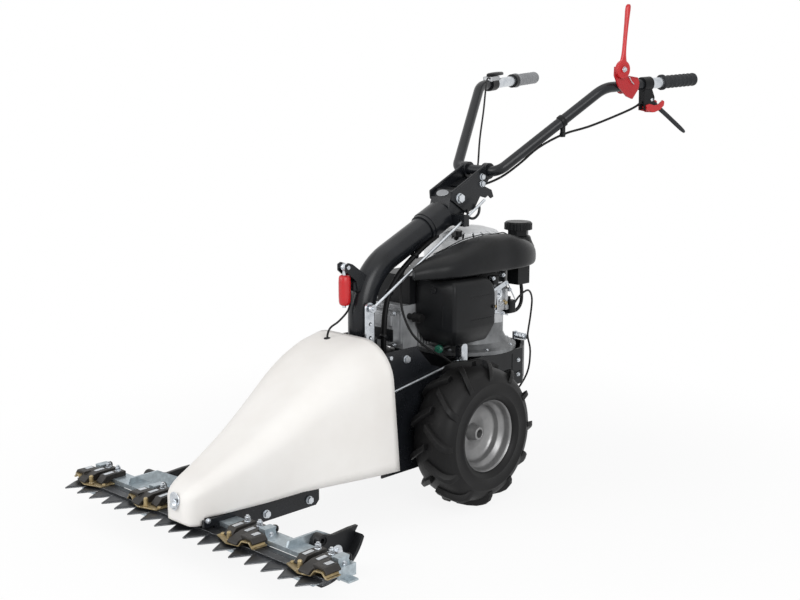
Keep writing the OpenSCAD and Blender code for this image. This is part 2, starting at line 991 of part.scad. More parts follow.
module column_head() {
  sleeve = 62;
  color("#1c1d20") {
    pull_ears();
    difference() {
      union() {
        on_column() {
          translate([0, 0, -sleeve])
            cylinder(h = sleeve, d = socket_d);
          translate([0, 0, -sleeve - 10])
            cylinder(h = 10, d = socket_d - 4);
        }
        translate([-head_half, 0, 0])
          yz_plate([
            [column_end_y + 2, column_end.z - 26], [column_end_y - 10, column_end.z + 4],
            [tilt_y - 26, tilt_z + 2], [tilt_y - 6, tilt_z + 20], [tilt_y + 20, tilt_z + 12],
            [tilt_y + 34, tilt_z - 24], [tilt_y + 22, tilt_z - 52], [tilt_y - 4, tilt_z - 66]],
            2 * head_half);
        translate([head_half - 4, guide_point.y - 10, guide_point.z - 14])
          cube([guide_point.x - head_half + 16, 18, 28]);
      }
      on_column()
        translate([0, 0, -2 * sleeve])
          cylinder(h = 2 * sleeve, d = column_d + 2 * run_fit);
      translate([0, tilt_y, tilt_z])
        cross_pin(tilt_d + 2 * run_fit, 4 * head_half);
      along(guide_point, guide_point + rod_dir)
        cube([rod_d + 7, rod_d + 9, 120], center = true);
    }
  }
}

module handle_bracket() {
  color("#18191b")
    difference() {
      union() {
        for (x = [-cheek_out, cheek_in])
          translate([x, 0, 0])
            yz_plate([
              [tilt_y - 28, tilt_z + 14], [tilt_y - 26, tilt_z - 4], [tilt_y + 30, tilt_z - 40],
              [tilt_y + 60, tilt_z - 30], [tilt_y + 96, tilt_z + 20], [cross_y + 16, cross_z - 8],
              [cross_y + 8, cross_z + 14], [cross_y - 12, cross_z + 14]],
              cheek_t);
        translate([-cheek_in, 0, 0])
          yz_plate([
            [tilt_y + 48, tilt_z + 24], [tilt_y + 50, tilt_z + 19], [cross_y - 6, cross_z - 22],
            [cross_y - 10, cross_z - 18]],
            2 * cheek_in);
        both_sides()
          translate([clamp_x, cross_y, cross_z])
            cross_pin(clamp_d, clamp_w);
      }
      translate([0, cross_y, cross_z])
        cross_pin(handle_d + 2 * run_fit, 6 * clamp_x);
      translate([0, tilt_y, tilt_z])
        cross_pin(tilt_d + 2 * run_fit, 6 * clamp_x);
    }
}

module handle_tube() {
  far_top = [-arm_top.x, arm_top.y, arm_top.z];
  far_low = [-arm_low.x, arm_low.y, arm_low.z];
  far_end = [-handle_end.x, handle_end.y, handle_end.z];
  path = [far_end, far_top, far_low, arm_low, arm_top, handle_end];
  bends = [0, top_bend, arm_bend, arm_bend, top_bend, 0];
  color("#141517")
    difference() {
      bar_path(path, bends, handle_d);
      bar_path(path, bends, handle_d - 2 * handle_wall);
    }
}

// Children lie on the straight end of the left arm: X outward, Y along the tube, Z up
module on_arm() {
  multmatrix([
    [grip_out.x, grip_dir.x, grip_up.x, arm_top.x],
    [grip_out.y, grip_dir.y, grip_up.y, arm_top.y],
    [grip_out.z, grip_dir.z, grip_up.z, arm_top.z],
    [0, 0, 0, 1]])
    children();
}

module tube_ring(s, l, d) {
  translate([0, s, 0])
    rotate([-90, 0, 0])
      difference() {
        cylinder(h = l, d = d);
        translate([0, 0, -1])
          cylinder(h = l + 2, d = handle_d + 2 * run_fit);
      }
}

module grip() {
  ribs = 6;
  rib_step = grip_l * 0.12;
  translate([0, grip_start_s, 0])
    rotate([-90, 0, 0])
      difference() {
        union() {
          cylinder(h = 8, d = grip_d + 6);
          cylinder(h = grip_l - 6, d = grip_d);
          translate([0, 0, grip_l - 6])
            cylinder(h = 6, d1 = grip_d, d2 = grip_d - 8);
        }
        translate([0, 0, -1])
          cylinder(h = grip_end_s - grip_start_s + 1, d = handle_d + 2 * run_fit);
        for (k = [1 : ribs])
          translate([0, 0, 10 + k * rib_step])
            rotate_extrude()
              translate([grip_d / 2 + 3.2, 0])
                circle(r = 5);
      }
}

module grips() {
  color("#3d4043")
    both_sides()
      on_arm()
        grip();
}

module lever_bracket() {
  plate_x = handle_d / 2 + 5;
  color("#b01d22")
    on_arm()
      difference() {
        union() {
          tube_ring(red_s + 17, 28, handle_d + 12);
          translate([plate_x - 3, 0, 0])
            difference() {
              yz_plate([
                [red_s - 20, red_up + 4], [red_s + 14, red_up + 4], [red_s + 18, 28],
                [red_s + 60, 20], [red_s + 66, 6], [red_s + 62, -10], [red_s + 40, -34],
                [red_s + 20, -26], [red_s - 8, 0], [red_s - 22, 30]],
                5);
              for (k = [0 : 4])
                translate([2, red_s + 22 + 8 * k, 28 - 1.5 * k])
                  rotate([-11, 0, 0])
                    cube([12, 3.6, 9], center = true);
            }
        }
        translate([plate_x, red_s, red_up - 4])
          cross_pin(8 + 2 * run_fit, 20);
        tube_cut();
      }
}

// Room for the handlebar tube
module tube_cut() {
  rotate([-90, 0, 0])
    cylinder(h = 2 * grip_end_s, d = handle_d + 2 * run_fit);
}

module red_lever() {
  plate_x = handle_d / 2 + 7 + gap;
  color("#c4232a")
    on_arm()
      translate([plate_x, red_s, red_up - 4]) {
        rotate([0, 90, 0])
          cylinder(h = 11, d = 46);
        rotate([0, 90, 0])
          translate([0, 0, -9])
            cylinder(h = 10, d = 8);
        hull() {
          translate([5.5, 0, 14])
            scale([1, 1, 1])
              sphere(r = 6, $fn = 24);
          translate([5.5, 6, 60])
            sphere(r = 5.5, $fn = 24);
        }
        hull() {
          translate([5.5, 6, 60])
            sphere(r = 5.5, $fn = 24);
          translate([5.5, 21, 153])
            sphere(r = 8.5, $fn = 24);
        }
      }
}

module control_mounts() {
  color("#121314") {
    on_arm()
      difference() {
        union() {
          tube_ring(clutch_s - 26, 30, handle_d + 10);
          translate([-10, clutch_s - 24, clutch_up - 10])
            cube([20, 26, 44]);
          for (x = [-11, 7])
            translate([x, 0, 0])
              yz_plate([
                [clutch_s - 24, clutch_up + 30], [clutch_s - 26, latch_up - 8],
                [clutch_s + 8, latch_up - 2], [clutch_s + 12, clutch_up + 6],
                [clutch_s + 2, clutch_up + 30]],
                4);
        }
        tube_cut();
        translate([0, clutch_s, clutch_up])
          cross_pin(6 + 2 * run_fit, 60);
        translate([0, latch_s, latch_up])
          cross_pin(5 + 2 * run_fit, 60);
        translate([-7 - gap, clutch_s - 12, clutch_up - 20])
          cube([14 + 2 * gap, 60, 30]);
      }
    mirror([1, 0, 0])
      on_arm() {
        difference() {
          union() {
            tube_ring(throttle_s - 16, 34, handle_d + 11);
            translate([-13, throttle_s - 18, 8])
              cube([26, 38, throttle_up - 8 - gap]);
          }
          tube_cut();
          translate([0, throttle_s, 0])
            cylinder(h = 80, d = 6 + 2 * run_fit);
        }
        tube_ring(grip_start_s - 18, 14, handle_d + 12);
      }
  }
}

module clutch_lever() {
  tip = [0, 138, -98];
  color("#27292b")
    on_arm()
      translate([0, clutch_s, clutch_up])
        difference() {
          union() {
            cross_pin(18, 13);
            cross_pin(6, 22);
            hull() {
              cross_pin(16, 10);
              translate([0, 42, -27])
                cross_pin(13, 9);
            }
            hull() {
              translate([0, 42, -27])
                cross_pin(13, 9);
              translate(tip)
                cross_pin(11, 11);
            }
          }
          translate([0, 40, -14])
            cross_pin(3, 60);
        }
}

module red_latch() {
  arm_in = 11 + gap;
  color("#c4232a")
    on_arm()
      translate([0, latch_s, latch_up]) {
        cross_pin(5, 2 * arm_in + 7);
        for (x = [-arm_in - 4, arm_in])
          translate([x, 0, 0])
            yz_plate([
              [-8, -8], [-8, 6], [3, 8], [20, 3], [36, 4], [52, 14], [58, 10], [56, 0], [42, -10],
              [22, -15], [4, -11]],
              4);
        translate([-arm_in - 4, 14, -15])
          cube([2 * arm_in + 8, 9, 4]);
      }
}

module throttle_lever() {
  color("#2a2c2e")
    mirror([1, 0, 0])
      on_arm()
        translate([0, throttle_s, throttle_up]) {
          cylinder(h = 8, d = 30);
          translate([0, 0, handle_d / 2 + 1 - throttle_up])
            cylinder(h = throttle_up - handle_d / 2, d = 6);
          hull() {
            translate([0, 0, 2])
              cylinder(h = 5, d = 24, $fn = 32);
            translate([2, 66, 4])
              cylinder(h = 4, d = 16, $fn = 32);
          }
        }
}

// Cables of the handlebar, clutch lever to bracket and throttle to bracket, with heights above the deck
left_cable = [
  [235.4, 622.5, 624], [226, 600, 610], [200, 556, 582], [150, 470, 536], [88, 350, 488], [42, 276, 441],
  [20, 238, 419], [18, 214, 422.4]];
right_cable = [
  [-208.4, 531, 681.5], [-196, 505, 682], [-172, 470, 662], [-120, 400, 600], [-66, 322, 526],
  [-30, 272, 454], [-20, 242, 420], [-18, 216, 423.6]];

module handle_cables() {
  color("#0e0e0e")
    translate([0, 0, deck_z]) {
      sweep(curve(left_cable, 2), 6, 8);
      sweep(curve(right_cable, 2), 5, 8);
    }
}

module handle_bolts() {
  color("#d0d2d4") {
    translate([0, tilt_y, tilt_z])
      cross_pin(tilt_d, 2 * cheek_out);
    both_sides()
      translate([cheek_out, tilt_y, tilt_z])
        rotate([0, 90, 0])
          bolt_head(tilt_d);
    both_sides()
      for (z = [-13, -31])
        translate([cheek_out, cross_y - 26, cross_z + z])
          rotate([0, 90, 0])
            bolt_head(8);
  }
}

// Linkages

// The long rod runs from a pin on the strap's top hole up to the guide on the handle bracket
rod_foot = [rod_x, strap_y, strap_z + strap_l];
rod_dir = unit(guide_point - rod_foot);

module shift_strap() {
  color("#c9ced2")
    translate([strap_x, strap_y, strap_z])
      rotate([0, 90, 0]) {
        difference() {
          linear_extrude(strap_t)
            translate([-strap_l / 2, 0])
              soft_rect(strap_l + strap_w, strap_w, strap_w / 2 - 0.5);
          for (s = [0.35, 0.65])
            translate([-strap_l * s, 0, 0])
              cylinder(h = 30, d = 9, center = true);
        }
        translate([0, 0, strap_t - 1])
          cylinder(h = plate_out + 7 - strap_x - strap_t, d = 10);
        translate([-strap_l, 0, strap_t])
          cylinder(h = 14, d = 8);
      }
}

module shift_rod() {
  past = norm(guide_point - rod_foot) + 92;
  eye_w = 7;
  color("#c9ced2")
    difference() {
      union() {
        along(rod_foot, guide_point)
          cylinder(h = past, d = rod_d);
        translate(rod_foot)
          cross_pin(19, eye_w);
      }
      translate(rod_foot)
        cross_pin(8 + 2 * run_fit, 6 * eye_w);
    }
}

module brake_lever() {
  color("#d2d5d8")
    translate([link_x, lever_y, lever_z])
      rotate([0, 90, 0]) {
        linear_extrude(4)
          translate([14, 0])
            soft_rect(56, 22, 10.5);
        translate([0, 0, -14])
          cylinder(h = 15, d = 10);
        translate([link_drop, 0, -9])
          cylinder(h = 10, d = 6);
      }
}

module brake_rod() {
  color("#d2d5d8")
    difference() {
      union() {
        along(rod_back, rod_front)
          cylinder(h = norm(rod_front - rod_back), d = 6);
        translate(rod_back)
          cross_pin(13, 5);
      }
      translate(rod_back)
        cross_pin(6 + 2 * run_fit, 40);
    }
}

pull_dir = unit([0, -2, -96]);

module column_lever() {
  color("#c6c9cc")
    translate([0, grip_y, pull_z]) {
      cross_pin(10, 30);
      run([0, 0, 0], 96 * pull_dir, 9);
      sphere(r = 9, $fn = 32);
    }
}

module column_lever_grip() {
  color("#c8231f")
    translate([0, grip_y, pull_z])
      along(28 * pull_dir, 96 * pull_dir)
        difference() {
          union() {
            cylinder(h = 64, d1 = 20, d2 = 24);
            translate([0, 0, 64])
              sphere(r = 12, $fn = 32);
          }
          translate([0, 0, -1])
            cylinder(h = 69.5, d = 9 + 2 * run_fit);
        }
}

// Front cover: arched sections from the blunt nose to the wide rear edge

// Each station: place along Y, half width, top, bottom, shoulder radius, lean of the section
cover_stations = [
  [nose_y, 24, 150, up_top + 8, 14, 0],
  [nose_y + 7, 38, 161, up_top + 4, 20, 0],
  [nose_y + 20, 46, 172, up_top + 3, 24, 0],
  [nose_y + 31, 49, 179, up_top + 3, 26, 0],
  [nose_y + 37, 51, 182, rail_top + 1, 27, 0],
  [-657, 60, 200, rail_top + 1, 32, 0],
  [-557, 84, 252, 111, 46, 0],
  [-469, 107, 308, 120, 60, 0],
  [-378, cover_half - 23, 372, 120, 74, 0],
  [-300, cover_half - 9, 410, 118, 84, 8],
  [-232, cover_half, 426, 116, 90, 28]];
arc_steps = 7;

// Points of one arched section, from the left foot over the top to the right foot
function cover_ring(s, inset) =
  let (w = s[1] - inset, top = s[2] - inset, r = s[4] - inset / 2, rise = top - s[3])
  [for (side = [1, -1])
    for (k = side > 0 ? [-1 : 1 : arc_steps] : [arc_steps : -1 : -1])
      let (a = 90 * k / arc_steps,
        x = k < 0 ? w : w - r + r * cos(a),
        z = k < 0 ? s[3] : top - r + r * sin(a))
      [side * x, s[0] + s[5] * (1 - (z - s[3]) / rise), z]];

module front_cover() {
  n = len(cover_stations);
  m = 2 * (arc_steps + 2);
  inner = [for (i = [0 : n - 1])
    let (s = cover_stations[i])
    [s[0] + (i == 0 ? cover_wall : i == 1 ? cover_wall / 2 : 0), s[1], s[2], s[3], s[4], s[5]]];
  points = concat(
    [for (s = cover_stations) each cover_ring(s, 0)],
    [for (s = inner) each cover_ring(s, cover_wall)]);
  inside = n * m;
  skins = [for (i = [0 : n - 2], k = [0 : m - 2])
    let (a = i * m + k, c = inside + a)
    each [[a, a + m, a + 1], [a + 1, a + m, a + m + 1],
       [c, c + 1, c + m], [c + 1, c + m + 1, c + m]]];
  feet = [for (i = [0 : n - 2], k = [0, m - 1])
    let (a = i * m + k, c = inside + a)
    each k == 0 ? [[a, c, a + m], [c, c + m, a + m]] : [[a, a + m, c], [c, a + m, c + m]]];
  nose = [for (k = [1 : m - 2]) each [[0, k, k + 1], [inside, inside + k + 1, inside + k]]];
  sill = [[0, m - 1, inside], [m - 1, inside + m - 1, inside]];
  rear = [for (k = [0 : m - 2])
    let (a = (n - 1) * m + k, c = inside + a)
    each [[a, c, a + 1], [c, c + 1, a + 1]]];
  color("#ece9e5")
    difference() {
      polyhedron(points, concat(skins, feet, nose, sill, rear));
      translate([0, nose_y, nose_bolt_z])
        rotate([-90, 0, 0])
          cylinder(h = 40, d = 9, center = true);
      translate([-24, -270, 380])
        cylinder(h = 60, d = 8);
    }
}

// Carrier of the cutter bar

module rail() {
  low = cut_z - 17;
  difference() {
    translate([rail_in, 0, 0])
      yz_plate([
        [rail_front, up_top + 4], [back_y + 4, up_top + 4], [back_y + 4, low + 4], [back_y + 8, low],
        [-392, low], [-382, low + 10], [-382, rail_top + 8], [front_plate_y, drive_z - 22],
        [front_plate_y, drive_z + 24], [-420, rail_top], [rail_front, rail_top]],
        rail_t);
    translate([0, beam_y - seat, beam_z - seat])
      cube([2 * rail_out, beam_w + 2 * seat, beam_t + 2 * seat]);
    for (y = [-413, -540])
      translate([rail_x, y, cut_z])
        cross_pin(10 + 2 * run_fit, 4 * rail_t);
  }
}

module carrier_frame() {
  block_y = nose_y + 38;
  upright = 8;
  color("#1a1b1c")
    difference() {
      union() {
        both_sides()
          rail();
        translate([-rail_in, block_y, up_top + 5])
          cube([2 * rail_in, 14, rail_top - up_top - 5]);
        translate([-20, block_y, rail_top - 6])
          cube([40, upright, nose_bolt_z + 18 - rail_top]);
        translate([2 - rail_in, rocker_y - 24, bridge_z])
          cube([2 * rail_in - 4, 90, bridge_t]);
        both_sides()
          translate([rail_in - 4, rocker_y - 24, bridge_z - 4])
            cube([5, 90, rail_top - bridge_z + 4]);
      }
      translate([0, rocker_y, bridge_z])
        cylinder(h = 60, d = pivot_d + 2 * run_fit, center = true);
      translate([0, nose_y, nose_bolt_z])
        rotate([-90, 0, 0])
          cylinder(h = 200, d = 8 + 2 * seat, center = true);
    }
}

module drive_housing() {
  head_l = 62;
  head_y = rocker_y + 4;
  head_z = bridge_z + bridge_t;
  color("#202224") {
    translate([0, front_plate_y, drive_z])
      rotate([90, 0, 0]) {
        cylinder(h = 12, d = drive_d + 34);
        cylinder(h = -(head_y + head_l) + front_plate_y + 20, d = drive_d);
      }
    difference() {
      translate([-38, head_y, head_z])
        cube([76, head_l, drive_z + 34 - head_z]);
      translate([0, rocker_y, head_z])
        cylinder(h = 40, d = pivot_d + 8, center = true);
    }
  }
}

module rocker() {
  color("#8d9195")
    translate([0, rocker_y, 0]) {
      translate([0, 0, rocker_z])
        cylinder(h = rocker_t, r = rocker_r);
      translate([0, 0, rocker_z])
        cylinder(h = bridge_z + bridge_t - rocker_z, d = pivot_d);
      translate([0, -rocker_pin_r, up_bar_z])
        cylinder(h = rocker_z - up_bar_z + 1, d = rocker_pin_d);
      translate([0, rocker_pin_r, low_bar_z])
        cylinder(h = rocker_z - low_bar_z + 1, d = rocker_pin_d);
    }
}

// Knives

// Back bar of one knife, with the head that the rocker's pin works in
module knife_bar(z, head_back, head_half_w, pin_y) {
  length = 2 * (half_row * tooth_pitch + tooth_pitch / 2) - 1;
  slot_w = rocker_pin_d + 2 * slot_free;
  translate([0, 0, z])
    difference() {
      union() {
        translate([-length / 2, bar_front, 0])
          cube([length, knife_bar_w, knife_bar_t]);
        translate([-head_half_w, bar_front, 0])
          cube([2 * head_half_w, head_back - bar_front, knife_bar_t]);
      }
      translate([0, pin_y, 0])
        linear_extrude(6 * knife_bar_t, center = true)
          soft_rect(slot_w, slot_w + 8, slot_w / 2 - 0.05);
    }
}

// One pointed section with ground bevels, top side up
module knife_section() {
  half = tooth_pitch / 2 - gap / 2;
  tip_half = 2;
  bevel = 9;
  lean = atan((half - tip_half) / tooth_len);
  difference() {
    linear_extrude(section_t)
      polygon([
        [-half, back_y], [-half, valley_y], [-tip_half, tip_y], [tip_half, tip_y],
        [half, valley_y], [half, back_y]]);
    for (side = [-1, 1])
      translate([side * half, valley_y, section_t * 0.35])
        rotate([0, 0, side * -lean])
          rotate([0, side * 18, 0])
            translate([side > 0 ? -bevel : -40 + bevel, -3 * tooth_len, 0])
              cube([40, 5 * tooth_len, 20]);
  }
}

module section_row(flip) {
  for (k = [-half_row : half_row])
    translate([k * tooth_pitch, 0, flip ? section_t : 0])
      mirror([0, 0, flip ? 1 : 0])
        knife_section();
}

module upper_knife_bar() {
  color("#6d7073")
    knife_bar(up_bar_z, rocker_y - rocker_pin_r + 18, 20, rocker_y - rocker_pin_r);
}

module upper_sections() {
  color("#55585b")
    translate([0, 0, up_section_z])
      section_row(false);
}

module lower_knife_bar() {
  color("#6d7073")
    knife_bar(low_bar_z, rocker_y + rocker_pin_r + 18, 17, rocker_y + rocker_pin_r);
}

module lower_sections() {
  color("#4b4e51")
    translate([0, 0, low_section_z])
      section_row(true);
}

// Bar and hold-downs

module skid_arm() {
  x = skid_x - web_t / 2 - gap - arm_t;
  translate([x, 0, 0])
    difference() {
      yz_plate([
        [beam_y, beam_top], [beam_y + 6, beam_top + 14], [beam_back + 40, beam_top + 14],
        [skid_bolt_y + 20, skid_bolt_z + 24], [skid_bolt_y + 18, skid_bolt_z - 14],
        [skid_bolt_y - 16, skid_bolt_z - 14], [beam_back + 8, beam_top - 6], [beam_back, beam_top]],
        arm_t);
      translate([0, skid_bolt_y, skid_bolt_z])
        cross_pin(skid_bolt_d + 2 * run_fit, 6 * arm_t);
    }
}

module bar_beams() {
  color("#aab4b9")
    both_sides() {
      translate([beam_in, beam_y, beam_z])
        cube([beam_out - beam_in, beam_w, beam_t]);
      translate([beam_out, beam_y, low_bar_z])
        cube([5, beam_w, beam_top - low_bar_z]);
      translate([beam_out, beam_y + 10, low_bar_z - 4])
        cube([22, beam_w - 20, 4]);
      for (s = [inner_station, outer_station])
        translate([s + 28, beam_y + 8, beam_top])
          cube([20, beam_w - 16, 16]);
      skid_arm();
    }
}

module knife_guides() {
  color("#8f979c")
    both_sides()
      for (s = stations)
        translate([s - station_w / 2, 0, guide_top - guide_t]) {
          translate([0, bar_front - 4, 0])
            cube([station_w, beam_back - bar_front + 4, guide_t]);
          translate([0, beam_y, guide_t])
            cube([station_w, beam_w, beam_z - guide_top]);
        }
}

spring_z = up_top + gap;
spring_t = 2.5;

module hold_down_springs() {
  flat = spring_z;
  hump = spring_z + 11;
  color("#b8a565")
    both_sides()
      for (s = stations)
        translate([s, 0, 0])
          intersection() {
            rotate([90, 0, 0])
              linear_extrude(knife_reach)
                polygon([
                  [-50, flat], [30, flat], [38, hump], [54, hump], [62, flat], [68, flat],
                  [68, flat + spring_t], [63, flat + spring_t], [55, hump + spring_t],
                  [37, hump + spring_t], [29, flat + spring_t], [-50, flat + spring_t]]);
            linear_extrude(2 * spring_z)
              polygon([
                [-50, bar_front - 2], [0, bar_front - 18], [68, bar_front], [68, beam_y - 4],
                [-50, beam_y - 4]]);
          }
}

pad_top = beam_top + 12;

module hold_down_pads() {
  nose = bar_front - 14;
  seat_z = spring_z + spring_t;
  color("#4a4641")
    both_sides()
      for (s = stations, x = [-38, 2])
        translate([s + x, 0, 0])
          yz_plate([
            [beam_back - 10, beam_top], [beam_back - 10, pad_top], [beam_y + 4, pad_top],
            [beam_y - 18, pad_top - 1], [nose + 6, seat_z + 9], [nose, seat_z + 4], [nose, seat_z],
            [beam_y - 12, seat_z], [beam_y, beam_top]],
            24);
}

// Skids

module skid() {
  slot_low = skid_bolt_z - skid_up;
  slot_high = skid_bolt_z + skid_down;
  slot_w = skid_bolt_d + 2 * gap;
  color("#161718")
    translate([skid_x, 0, 0])
      difference() {
        union() {
          intersection() {
            translate([0, skid_y, skid_r])
              difference() {
                cross_pin(2 * (skid_r + flat_cut), sole_w);
                cross_pin(2 * (skid_r + flat_cut - sole_t), 2 * sole_w);
              }
            translate([-sole_w, skid_y - 14, 0])
              cube([2 * sole_w, 164, 80]);
          }
          intersection() {
            translate([0, skid_y, skid_r])
              cross_pin(2 * (skid_r + flat_cut - sole_t / 2), web_t);
            translate([-web_t, 0, 0])
              yz_plate([
                [skid_y - 16, 0], [skid_y - 8, 92], [skid_y + 14, 106], [skid_y + 50, 93],
                [skid_y + 96, 96], [skid_y + 122, 84], [skid_y + 122, 0]],
                2 * web_t);
          }
          translate([web_t / 2, skid_y + 8, 94])
            cross_pin(26, 2 * web_t);
        }
        hull()
          for (z = [slot_low, slot_high])
            translate([0, skid_bolt_y, z])
              cross_pin(slot_w, 4 * web_t);
      }
}

module left_skid() {
  skid();
}

module right_skid() {
  mirror([1, 0, 0])
    skid();
}

// Fasteners

module skid_bolt() {
  inner = skid_x - web_t / 2 - gap - arm_t;
  outer = skid_x + web_t / 2 + gap;
  translate([inner, skid_bolt_y, skid_bolt_z])
    rotate([0, -90, 0])
      bolt_head(skid_bolt_d);
  translate([inner - 1, skid_bolt_y, skid_bolt_z])
    rotate([0, 90, 0])
      cylinder(h = outer - inner + 2, d = skid_bolt_d);
  translate([outer, skid_bolt_y, skid_bolt_z])
    rotate([0, 90, 0]) {
      cylinder(h = 3, d = 31);
      translate([0, 0, 3])
        bolt_head(skid_bolt_d);
    }
}

module zinc_bolts() {
  color("#d3d6d8") {
    both_sides() {
      skid_bolt();
      for (y = [-413, -540])
        translate([rail_out, y, cut_z])
          rotate([0, 90, 0]) {
            bolt_head(9);
            translate([0, 0, -rail_t])
              cylinder(h = rail_t + 1, d = 10);
          }
      for (p = [[-150, deck_z + 40], [-20, deck_z - 30]])
        translate([plate_out, p.x, p.y])
          rotate([0, 90, 0])
            bolt_head(9);
    }
    translate([0, nose_y, nose_bolt_z])
      rotate([90, 0, 0]) {
        translate([0, 0, 2])
          cylinder(h = 3, d = 24);
        translate([0, 0, 5])
          cylinder(h = 6, d1 = 18, d2 = 12);
        translate([0, 0, -46])
          cylinder(h = 49, d = 8);
      }
    both_sides()
      for (s = stations, x = [-26, 14])
        translate([s + x, beam_back - 24, pad_top])
          bolt_head(7);
    translate([coil_x, coil_y, coil_z])
      rotate([0, 90, 0])
        translate([0, 0, -4])
          cylinder(h = coil_l + 8, r = coil_r * cos(22.5) - coil_wire / 2 - 0.2);
    translate([coil_x - 8, housing_back - 14, deck_z])
      cube([6, 14, 22]);
  }
}

// Cables of the machine, clutch, throttle, lever pull and fuel hose, with heights above the deck
clutch_cable = [
  [8, 34, 282], [14, -20, 258], [30, -70, 226], [50, -98, 185], [70, -112, 140], [94, -104, 90],
  [116, -74, 54], [129, -30, 26], [129.5, 0, 4], [127, 20, -16], [120.7, 28, -30]];
throttle_cable = [
  [153, 201.6, 125], [148, 232, 144], [130, 290, 150], [112, 330, 122], [98, 344, 75], [90, 345, 30],
  [89.3, 345, 11], [88, 358, -30], [84, 350, -90], [74, 300, -140], [60, 220, -148], [50, 150, -130]];
pull_cable = [
  [0, -217.2, 197], [0, -217.2, 175], [-4, -222, 150], [-14, -242, 126], [-22, -262, 112], [-24, -270, 94],
  [-24, -270, 66]];
fuel_line = [
  [120, 273, 169.6], [122, 274, 148], [130, 262, 122], [138, 235, 108], [140, 200, 107], [140, 164.4, 110]];

module machine_cables() {
  color("#101010")
    translate([0, 0, deck_z]) {
      sweep(curve(clutch_cable, 2), 6, 8);
      sweep(curve(throttle_cable, 2), 5, 8);
      sweep(curve(pull_cable, 2), 5, 8);
      sweep(curve(fuel_line, 2), 9, 8);
    }
}

module cable_spring() {
  rings = 8;
  turns = 6;
  points = [for (k = [0 : turns * rings])
    let (a = 360 * k / rings)
    [coil_r * cos(a), coil_r * sin(a), coil_l * k / (turns * rings)]];
  gaps = [for (k = [0 : turns * rings - rings]) norm(points[k + rings] - points[k]) - coil_wire];
  echo("least gap between the spring's turns", min(gaps));
  color("#c8ccd0")
    translate([coil_x, coil_y, coil_z])
      rotate([0, 90, 0])
        sweep(points, coil_wire, 6);
}

module place() {
  translate([0, frame_shift, 0])
    children();
}

place() axle_shaft();
place() tyres();
place() rims();
place() gearbox_housing();
place() chassis_plates();
place() clutch_housing();
place() crankshaft();
place() flywheel();
place() crankcase();
place() cylinder_block();
place() valve_cover();
place() fan_shroud();
place() fuel_tank();
place() recoil_cover();
place() starter_grip();
place() fuel_cap();
place() air_filter_box();
place() carburettor();
place() fuel_tap();
place() muffler();
place() spark_plug();
place() dipstick();
place() column_tube();
place() column_socket();
place() column_head();
place() handle_bracket();
place() handle_tube();
place() grips();
place() lever_bracket();
place() red_lever();
place() control_mounts();
place() clutch_lever();
place() red_latch();
place() throttle_lever();
place() handle_cables();
place() handle_bolts();
place() shift_strap();
place() shift_rod();
place() brake_lever();
place() brake_rod();
place() column_lever();
place() column_lever_grip();
place() front_cover();
place() carrier_frame();
place() drive_housing();
place() rocker();
place() upper_knife_bar();
place() upper_sections();
place() lower_knife_bar();
place() lower_sections();
place() bar_beams();
place() knife_guides();
place() hold_down_springs();
place() hold_down_pads();
place() left_skid();
place() right_skid();
place() zinc_bolts();
place() machine_cables();
place() cable_spring();
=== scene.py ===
# %% [markdown]
# # A walk-behind sickle bar mower
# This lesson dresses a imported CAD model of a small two-wheeled mower: a double-knife cutter bar in front,
# an engine over the axle, and a handlebar on a bent column. The CAD solids stay where they are and keep their
# joints. Blender adds the finishes, the soft and moulded shapes, and the small pieces that catch the eye.

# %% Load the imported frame
import json
import math

import bmesh
import bpy
from mathutils import Matrix, Vector


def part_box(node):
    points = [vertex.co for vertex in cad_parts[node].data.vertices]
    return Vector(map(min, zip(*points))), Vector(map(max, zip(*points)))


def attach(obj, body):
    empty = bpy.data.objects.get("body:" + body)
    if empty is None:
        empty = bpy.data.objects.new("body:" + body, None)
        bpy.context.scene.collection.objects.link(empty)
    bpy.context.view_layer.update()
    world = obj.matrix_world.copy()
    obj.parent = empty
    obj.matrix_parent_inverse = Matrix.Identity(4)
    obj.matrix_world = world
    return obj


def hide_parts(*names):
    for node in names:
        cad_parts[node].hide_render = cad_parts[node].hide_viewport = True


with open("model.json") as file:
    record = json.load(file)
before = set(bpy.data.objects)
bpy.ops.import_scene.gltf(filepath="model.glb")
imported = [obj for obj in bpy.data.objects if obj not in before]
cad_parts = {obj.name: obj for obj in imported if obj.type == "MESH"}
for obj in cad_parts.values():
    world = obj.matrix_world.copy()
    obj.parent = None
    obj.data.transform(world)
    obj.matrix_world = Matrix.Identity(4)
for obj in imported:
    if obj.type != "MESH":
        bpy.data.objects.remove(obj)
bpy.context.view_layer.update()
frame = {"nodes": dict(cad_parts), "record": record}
nodes = frame["nodes"]
axle_low, axle_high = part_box("axle_shaft")
AXLE_Y = (axle_low.y + axle_high.y) / 2
print("frame:", len(nodes), "nodes, axle at y =", round(AXLE_Y, 4))

# %% [markdown]
# ## Camera
# The photograph looks at the left front of the machine from a little above. The drawing's sizes were read
# through one camera, so the same camera stands here: 44 degrees to the left of straight ahead, 10.6 degrees up.
# Its place could be tuned by eye, but a camera that was fitted to the knife tips needs no tuning.

# %% Camera at the photograph's angle


def spot(x, y, z):
    """A point of the drawing (millimetres, axle at y = 0, ground at z = 0) in metres of the frame."""
    return Vector((x / 1000, y / 1000 + AXLE_Y, z / 1000))


view_turn, view_rise = math.radians(44.08), math.radians(10.62)
camera_data = bpy.data.cameras.new("photo_camera")
camera_data.lens = 57.03
camera_data.sensor_width = 36.0
camera_data.clip_end = 50.0
camera = bpy.data.objects.new("photo_camera", camera_data)
camera.location = spot(2127.8, -2246.5, 1056.2)
camera.rotation_euler = (math.pi / 2 - view_rise, 0.0, view_turn)
bpy.context.scene.collection.objects.link(camera)
bpy.context.scene.camera = camera
print("camera at", [round(c, 3) for c in camera.location])

